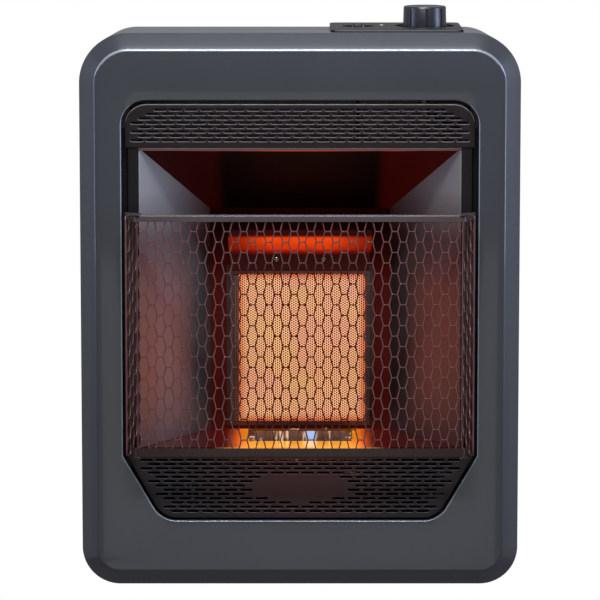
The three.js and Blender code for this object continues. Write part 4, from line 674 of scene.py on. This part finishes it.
coat(floor_steel, "floor_reflector")

# Two domed screws, zinc plated and bright, hold the clamp bar that keeps the plaque in its frame.
screw_steel = reflector_steel("zinc_plated_screws", "#A49C98", "#7C706C", 0.2)
for side, name in ((-1, "clamp_screw_left"), (1, "clamp_screw_right")):
    screw = rings(name + "_head", [(1.5, -8), (1.5, 0), (2.6, 0.25), (2.6, 0.7), (2.3, 1.2), (1.7, 1.6),
                                   (0.9, 1.83), (0.1, 1.9)], 32)
    screw.data.transform(Matrix.Translation(place(side * 23.5, 99, 310.32))
                         @ Matrix.Rotation(math.pi / 2, 4, "X"))
    smooth(screw, 40)
    dress(screw, screw_steel, "galvanised", name)


def mottled(name, dark, light, scale, detail, roughness, relief=None, **inputs):
    """Two colours in blotches of noise. A pair of roughnesses follows it, and so does any relief."""
    rough = isinstance(roughness, tuple)
    material, surface, where = finish(name, light, 0.5 if rough else roughness, **inputs)
    blotches = add(material, "TexNoise", {"Vector": where, "Scale": scale, "Detail": detail})
    blend = add(material, "Mix", {0: blotches.outputs["Fac"], 6: tint(dark), 7: tint(light)},
                data_type="RGBA")
    feed(surface, {"Base Color": blend.outputs[2]})
    if rough:
        sheen = add(material, "MapRange", {"Value": blotches.outputs["Fac"], "To Min": roughness[0],
                                           "To Max": roughness[1]})
        feed(surface, {"Roughness": sheen.outputs["Result"]})
    if relief:
        bump = add(material, "Bump", {"Height": blotches.outputs["Fac"], "Strength": relief[0],
                                      "Distance": relief[1]})
        feed(surface, {"Normal": bump.outputs["Normal"]})
    return material


# The back plate beside the plaque is scaled. A very dull red painted glow on it stands for the plaque's
# light, fading above where the baffle shades it.
back_plate_red_glow = mottled("scaled_steel_painted_red_glow", "#1A0503", "#280806", 45, 5, 0.6,
                   **{"Specular IOR Level": 0.05})
feed(painted(back_plate_red_glow)[0], {"Emission Color": tint("#5A120C"),
                            "Emission Strength": across(back_plate_red_glow, "Z", 290, 335, 0.3, 0.02)})
coat(back_plate_red_glow, "firebox_back")

# The strip above the plaque is red-hot: bright orange in its middle, dying away to its ends, and down
# over the clamp bar that it stands on.
red_hot, surface, where = finish("red_hot_sheet", "#300806", 0.5, **{"Specular IOR Level": 0.1})
patches = add(red_hot, "TexNoise", {"Vector": where, "Scale": 60, "Detail": 3})
uneven = add(red_hot, "MapRange", {"Value": patches.outputs["Fac"], "To Min": 0.75, "To Max": 1.2})
heat = across(red_hot, "aside", 25, 71, 0.88, 0.36, interpolation_type="SMOOTHSTEP")
for factor in (across(red_hot, "Z", 333, 336, 1, 0.04),
               across(red_hot, "Z", 314, 322, interpolation_type="SMOOTHSTEP"),
               uneven.outputs["Result"]):
    heat = add(red_hot, "Math", {0: heat, 1: factor}, operation="MULTIPLY").outputs[0]
tone = add(red_hot, "Math", {0: heat, 1: across(red_hot, "Z", 318, 330, 0.3)}, operation="MULTIPLY")
colour = add(red_hot, "Mix", {0: tone.outputs[0], 6: tint("#B80A06"), 7: tint("#FF4E08")},
             data_type="RGBA")
feed(surface, {"Emission Color": colour.outputs[2], "Emission Strength": heat})
coat(red_hot, "heat_baffle", "clamp_bar")

# ---------------------------------------------------------------- ceramic plaque
# The gas burns inside the face of a cordierite tile that is pierced with thousands of fine holes in
# staggered columns. They are 1.9 mm apart, and drawn 2.4 mm apart so that they show. The lit tile is
# yellow-hot between the holes and duller inside them.
plaque = block("plaque", -66.5, 66.5, 100.1, 113, 146.5, 295.5)
bevel(plaque, 1.2, 3, lambda e: middle(e).y < place(0, 101, 0).y)
smooth(plaque)
glowing, surface, where = finish("glowing_cordierite", "#8C7468", 0.9)
nearest = []
for shift in ((0, 0, 0), (0.00204, 0, 0.00121)):             # two grids make the staggered columns
    cell = where
    for operation, value in (("MULTIPLY", (1, 0, 1)), ("SUBTRACT", shift),
                             ("DIVIDE", (0.00408, 1, 0.00242)), ("ADD", (0.5, 0, 0.5)),
                             ("FRACTION", (0, 0, 0)), ("SUBTRACT", (0.5, 0, 0.5)),
                             ("MULTIPLY", (4.08, 0, 2.42))):
        cell = add(glowing, "VectorMath", {0: cell, 1: value}, operation=operation).outputs[0]
    nearest.append(add(glowing, "VectorMath", {0: cell}, operation="LENGTH").outputs["Value"])
hole = add(glowing, "Math", {0: nearest[0], 1: nearest[1]}, operation="MINIMUM").outputs[0]
solid = add(glowing, "MapRange", {"Value": hole, "From Min": 0.7, "From Max": 1.1}).outputs["Result"]
heat = add(glowing, "TexNoise", {"Vector": where, "Scale": 35, "Detail": 3})
patchy = add(glowing, "MapRange", {"Value": heat.outputs["Fac"], "From Min": 0.35, "From Max": 0.65})
hot = add(glowing, "Mix", {0: patchy.outputs["Result"], 6: tint("#FFD286"), 7: tint("#FFC094")},
          data_type="RGBA")
mouth = add(glowing, "MapRange", {"Value": hole, "From Min": 0.45, "From Max": 0.85})
depths = add(glowing, "Mix", {0: mouth.outputs["Result"], 6: tint("#280500"), 7: tint("#BC3E10")},
             data_type="RGBA")
pierced = add(glowing, "Mix", {0: solid, 6: depths.outputs[2], 7: hot.outputs[2]}, data_type="RGBA")
rim = squarely(glowing, 2, 221.8, 11.2)                      # it burns a little right of the middle
edge = add(glowing, "MapRange", {"Value": rim, "From Min": 0.0555, "From Max": 0.0625})
cooler = add(glowing, "Mix", {0: edge.outputs["Result"], 6: (1, 1, 1, 1), 7: tint("#E0904C")},
             data_type="RGBA")
light = add(glowing, "Mix", {0: 1.0, 6: pierced.outputs[2], 7: cooler.outputs[2]}, data_type="RGBA",
            blend_type="MULTIPLY")
lit = add(glowing, "MapRange", {"Value": rim, "From Min": 0.0628, "From Max": 0.0636, "To Min": 1.0,
                                "To Max": 0.03})
dark = add(glowing, "Mix", {0: solid, 6: tint("#0C0606"), 7: tint("#5A3A3A")}, data_type="RGBA")
feed(surface, {"Base Color": dark.outputs[2], "Emission Color": light.outputs[2],
               "Emission Strength": lit.outputs["Result"]})
dress(plaque, glowing, "ceramic", "ceramic_plaque")

# ---------------------------------------------------------------- burner, pilot and gas train
# Behind the firebox: a ceramic-felt gasket, die-cast valve and regulator, brass fittings and
# aluminium pipes. The pilot stands on its bracket in the floor's notch.


def worked_metal(name, colour, darker, roughness, grain, stretch):
    """Metal with the marks of its making: noise of that grain in millimetres, stretched along them."""
    material, surface, where = finish(name, colour, roughness, 1.0)
    along = add(material, "Mapping", {"Vector": where, "Scale": stretch})
    marks = add(material, "TexNoise", {"Vector": along.outputs["Vector"], "Scale": 1000 / grain,
                                       "Detail": 3})
    blend = add(material, "Mix", {0: marks.outputs["Fac"], 6: tint(darker), 7: tint(colour)},
                data_type="RGBA")
    polish = add(material, "MapRange", {"Value": marks.outputs["Fac"], "From Min": 0.3, "From Max": 0.7,
                                        "To Min": roughness + 0.1, "To Max": roughness - 0.08})
    bump = add(material, "Bump", {"Height": marks.outputs["Fac"], "Strength": 0.15, "Distance": 0.0003})
    feed(surface, {"Base Color": blend.outputs[2], "Roughness": polish.outputs["Result"],
                   "Normal": bump.outputs["Normal"]})
    return material


# The gasket is matted ceramic felt, off-white and fibrous.
felt, surface, where = finish("ceramic_felt", "#D8D4C8", 0.95)
fibres = add(felt, "TexNoise", {"Vector": where, "Scale": 700, "Detail": 6, "Distortion": 2})
tuft = add(felt, "Mix", {0: fibres.outputs["Fac"], 6: tint("#B9B3A4"), 7: tint("#E6E2D8")},
           data_type="RGBA")
matted = add(felt, "Bump", {"Height": fibres.outputs["Fac"], "Strength": 0.6, "Distance": 0.0006})
feed(surface, {"Base Color": tuft.outputs[2], "Normal": matted.outputs["Normal"]})
coat(felt, "plaque_gasket")

# Turned brass shows rings, die-cast alloy is cloudy and duller, and drawn tube has lines along it.
brass = worked_metal("turned_brass", "#B5934A", "#8F7234", 0.3, 0.7, (0.04, 0.04, 1))
coat(brass, "injector_holder", "gas_injector", "valve_bonnet", "valve_rotor", "inlet_fitting",
     "thermocouple_lead")
alloy = worked_metal("die_cast_alloy", "#A8ABAD", "#8E9194", 0.48, 1.6, (1, 1, 1))
coat(alloy, "gas_valve_body", "gas_regulator", "regulator_cap")
aluminium = worked_metal("drawn_aluminium_tube", "#B8BABB", "#9FA2A4", 0.3, 0.8, (1, 1, 0.03))
coat(aluminium, "burner_tube", "inlet_tube", "pilot_tube")

# The pilot's sensor and electrode are heat-tinted. Its bracket has painted glints and a painted
# reflection of the small blue flame.
tinted = worked_metal("heat_tinted_steel", "#8C7866", "#5E4C42", 0.55, 6.0, (1, 1, 0.4))
coat(tinted, "thermocouple", "pilot_electrode")
bracket_steel, surface, where = finish("pilot_bracket_steel", "#7A5C50", 0.35, 0.5)
slanted = add(bracket_steel, "Mapping", {"Vector": where, "Rotation": (0, 0.6, 0),
                                         "Scale": (1, 1, 0.25)})
marks = add(bracket_steel, "TexNoise", {"Vector": slanted.outputs["Vector"], "Scale": 130, "Detail": 2})
painted_glints = add(bracket_steel, "MapRange", {"Value": marks.outputs["Fac"], "From Min": 0.54,
                                         "From Max": 0.62})
shade = add(bracket_steel, "Mix", {0: marks.outputs["Fac"], 6: tint("#5A3A32"), 7: tint("#93756A")},
            data_type="RGBA")
flame = around(bracket_steel, place(11, 0, 140.5), (1, 0, 0.65), 0.0035, 0.007)
seen = add(bracket_steel, "Mix", {0: flame, 6: tint("#E8C49C"), 7: tint("#8CC0F8")}, data_type="RGBA")
level = add(bracket_steel, "Math", {0: painted_glints.outputs["Result"], 1: flame}, operation="MAXIMUM")
level = add(bracket_steel, "Math", {0: level.outputs[0], 1: 0.9}, operation="MULTIPLY")
feed(surface, {"Base Color": shade.outputs[2], "Emission Color": seen.outputs[2],
               "Emission Strength": level.outputs[0]})
coat(bracket_steel, "pilot_bracket")
# The pilot burner's top gets a painted blue glow that stands for its flame.
pilot_brass = worked_metal("pilot_brass_in_flame", "#B5934A", "#7A5A30", 0.3, 0.7, (0.04, 0.04, 1))
feed(painted(pilot_brass)[0], {"Emission Color": tint("#6FA8F0"),
                               "Emission Strength": across(pilot_brass, "Z", 133, 136, last=0.2)})
coat(pilot_brass, "pilot_burner")

# The electrode's lead has a dusty silicone sleeve, and its insulator is steatite, sooted by the flame.
rubber = mottled("silicone_sleeve", "#412219", "#57352B", 240, 4, (0.5, 0.75))
coat(rubber, "ignition_cable")
steatite = mottled("sooty_steatite", "#4E4038", "#66564C", 300, 3, 0.5)
coat(steatite, "electrode_insulator")

# ---------------------------------------------------------------- controls
# A pressed cover on top carries the controls and leans forwards by 2.3 degrees. The knob and the
# igniter's button are moulded in black ABS.
PLATE = Matrix.Translation(place(0, 25, 540.3)) @ Matrix.Rotation(math.radians(2.3), 4, "X")
KNOB, IGNITER = (122.4, 60), (56.9, 55)                      # right of the middle, and back on the cover


def cutters_round(name, count, first, left, right, front, rear, low, high):
    """Blocks set round the origin's vertical, the first one turned by that many degrees."""
    blocks = []
    for i in range(count):
        piece = block(name, left, right, front, rear, low, high)
        piece.data.transform(Matrix.Rotation(math.radians(first + 360 * i / count), 4, "Z")
                             @ Matrix.Translation(-place(0, 0, 0)))
        blocks.append(piece)
    return blocks


def lean(piece, x, back):
    """Moves a piece from the origin to its place on the sloping cover."""
    piece.data.transform(PLATE @ Matrix.Translation(Vector((x, back, 0)) / 1000))
    return piece


cover = block("control_cover", 29.5, 158, 25, 130, 538.3, 560)
choose(cover, "FACE", lambda f: True)
bpy.ops.mesh.bisect(plane_co=place(0, 25, 540.3), plane_no=PLATE.col[2].to_3d(), clear_outer=True,
                    use_fill=True)
bevel(cover, 7, 8, lambda e: runs(e, 2))
take_off(cover, lambda f: f.normal.z < -0.9)
bevel(cover, 0.9, 3, lambda e: e.calc_face_angle(0) > 1)
shape(cover, "SOLIDIFY", thickness=SHEET, offset=-1)
cut(cover, lean(rings("hole", [(29, -20), (29, 20)]), *KNOB),
    lean(rings("hole", [(15.6, -20), (15.6, 20)]), *IGNITER),
    *[lean(rings("notch", [(1.9, -20), (1.9, 20)], 24), x, 2.6) for x in (32.1, 155.4)])
smooth(cover)

# Rough black powder coat on the cover, and one dot of matt white ink that the knob points at.
plate_paint = powder_coat("control_plate_paint", "#151415", "#1C1B1C", 0.5)
dress(cover, plate_paint, "plate", "control_plate")

dot = lean(rings("index_dot", [(2.1, 0.02), (2.1, 0.1), (1.9, 0.18), (0.1, 0.18)], 32), 80.5, 66)
ink = mottled("printed_white_ink", "#D6D3CC", "#EEECE8", 2500, 2, 0.6)
smooth(dot)
dress(dot, ink, "white")

# Moulded ABS has a finely etched skin, satin black with soft highlights.
abs_plastic = mottled("moulded_abs", "#131318", "#1E1E25", 1100, 2, (0.22, 0.4), (0.1, 0.0002),
                      IOR=1.53)
knob = rings("knob", [(19.0, -1), (21.25, -1), (20.75, 18.2), (20.3, 18.95), (19.5, 19.3), (16.5, 19.3),
                      (16.2, 19.0), (0.2, 19.0)])
cut(knob, *cutters_round("groove", 8, 2.7, -0.8, 0.8, -23.5, -19.9, -2, 17.2))
cut(knob, *cutters_round("pointer", 1, -35, -0.9, 0.9, -15, -5, 18.5, 20))
smooth(lean(knob, *KNOB))
dress(knob, abs_plastic, "plastic", "control_knob", body="knob")
button = rings("igniter_cap", [(5, -31), (5, -7), (9, -7), (9, 0.6), (8.7, 1.3), (8, 1.6), (7, 1.6),
                               (6.6, 1.1), (0.2, 0.9)], 64)
cut(button, *cutters_round("flute", 16, 0, -0.7, 0.7, -10, -8.3, -2, 3))
smooth(lean(button, *IGNITER))
dress(button, abs_plastic, "plastic", "igniter_button", body="igniter")
coat(abs_plastic, "igniter_body")

# ---------------------------------------------------------------- studio
# The floor and the surround are white to the camera, and grey and dim to the heater. Broad soft lamps
# light it, and the camera stands at the photograph's angle.
alone()
bpy.ops.mesh.primitive_plane_add(size=3.2, location=(0, 0, -1.2))
floor = bpy.context.object
floor.name = "studio_floor"
white, surface, _ = finish("pale_floor", "#86807E", 0.9)
seen = add(white, "LightPath", {})
shown = add(white, "Emission", {"Color": (1, 1, 1, 1), "Strength": 1.0})
either = add(white, "MixShader", {0: seen.outputs["Is Camera Ray"], 1: surface.outputs["BSDF"],
                                  2: shown.outputs["Emission"]})
feed(white.node_tree.nodes["Material Output"], {"Surface": either.outputs["Shader"]})
floor.data.materials.append(white)

world = bpy.data.worlds.new("studio")
bpy.context.scene.world = world
world.use_nodes = True
path = add(world, "LightPath", {})
way = add(world, "SeparateXYZ", {"Vector": add(world, "TexCoord", {}).outputs["Generated"]})
behind = add(world, "Math", {0: way.outputs["Y"], 1: 0.0}, operation="GREATER_THAN").outputs[0]
shown = path.outputs["Is Glossy Ray"]
for factor in (behind, 0.22):                                # reflections see the backdrop only, dimmed
    shown = add(world, "Math", {0: shown, 1: factor}, operation="MULTIPLY").outputs[0]
for ray in ("Is Camera Ray", "Is Transmission Ray"):
    shown = add(world, "Math", {0: shown, 1: path.outputs[ray]}, operation="MAXIMUM").outputs[0]
level = add(world, "MapRange", {"Value": shown, "To Min": 0.22, "To Max": 1.0})
feed(world.node_tree.nodes["Background"], {"Color": (1, 1, 1, 1), "Strength": level.outputs["Result"]})


def softbox(name, where, aim, size, power, height=None, colour="#FFFFFF"):
    """A rectangular soft lamp that faces a point."""
    light = bpy.data.lights.new(name, "AREA")
    light.shape, light.size, light.size_y, light.energy = "RECTANGLE", size, height or size, power
    light.color = tint(colour)[:3]
    lamp = bpy.data.objects.new(name, light)
    bpy.context.collection.objects.link(lamp)
    lamp.location = where
    lamp.rotation_euler = (Vector(aim) - Vector(where)).to_track_quat("-Z", "Y").to_euler()
    return lamp


softbox("overhead", (0, -0.95, 2.2), (0, -0.1, 0), 1.8, 17, 1.0, "#F4F8FF")
softbox("left", (-2.35, -0.9, 0.4), (0, -0.2, -0.1), 0.7, 19, 1.6, "#C8D6FF")
softbox("right", (2.35, -0.9, 0.4), (0, -0.2, -0.1), 0.7, 38, 1.6, "#C8D6FF")
softbox("front", (0, -3.6, 1.6), (0, -0.2, -0.15), 1.2, 0.8)
softbox("front_top", (0, -1.05, 1.0), (0, -0.2, 0.05), 0.7, 27, 0.16, "#F4F8FF")
softbox("front_low", (0, -2.4, -0.9), (0, -0.2, -0.4), 1.0, 2)

# The plaque's own light, which the picture's white level cannot hold. This lamp cannot be seen.
glow = softbox("plaque_glow", place(0, 96, 221), place(0, 0, 221), 0.12, 0.055, 0.14, "#FF3818")
glow.visible_camera = False

lens = bpy.data.cameras.new("camera")
lens.lens, lens.sensor_width, lens.shift_y = 181.9, 36, -0.0534
camera = bpy.data.objects.new("camera", lens)
bpy.context.collection.objects.link(camera)
camera.location = place(0, -2900, 638)
camera.rotation_euler = (math.radians(90 - 6.4), 0, 0)
bpy.context.scene.camera = camera
bpy.context.scene.view_settings.view_transform = "Standard"
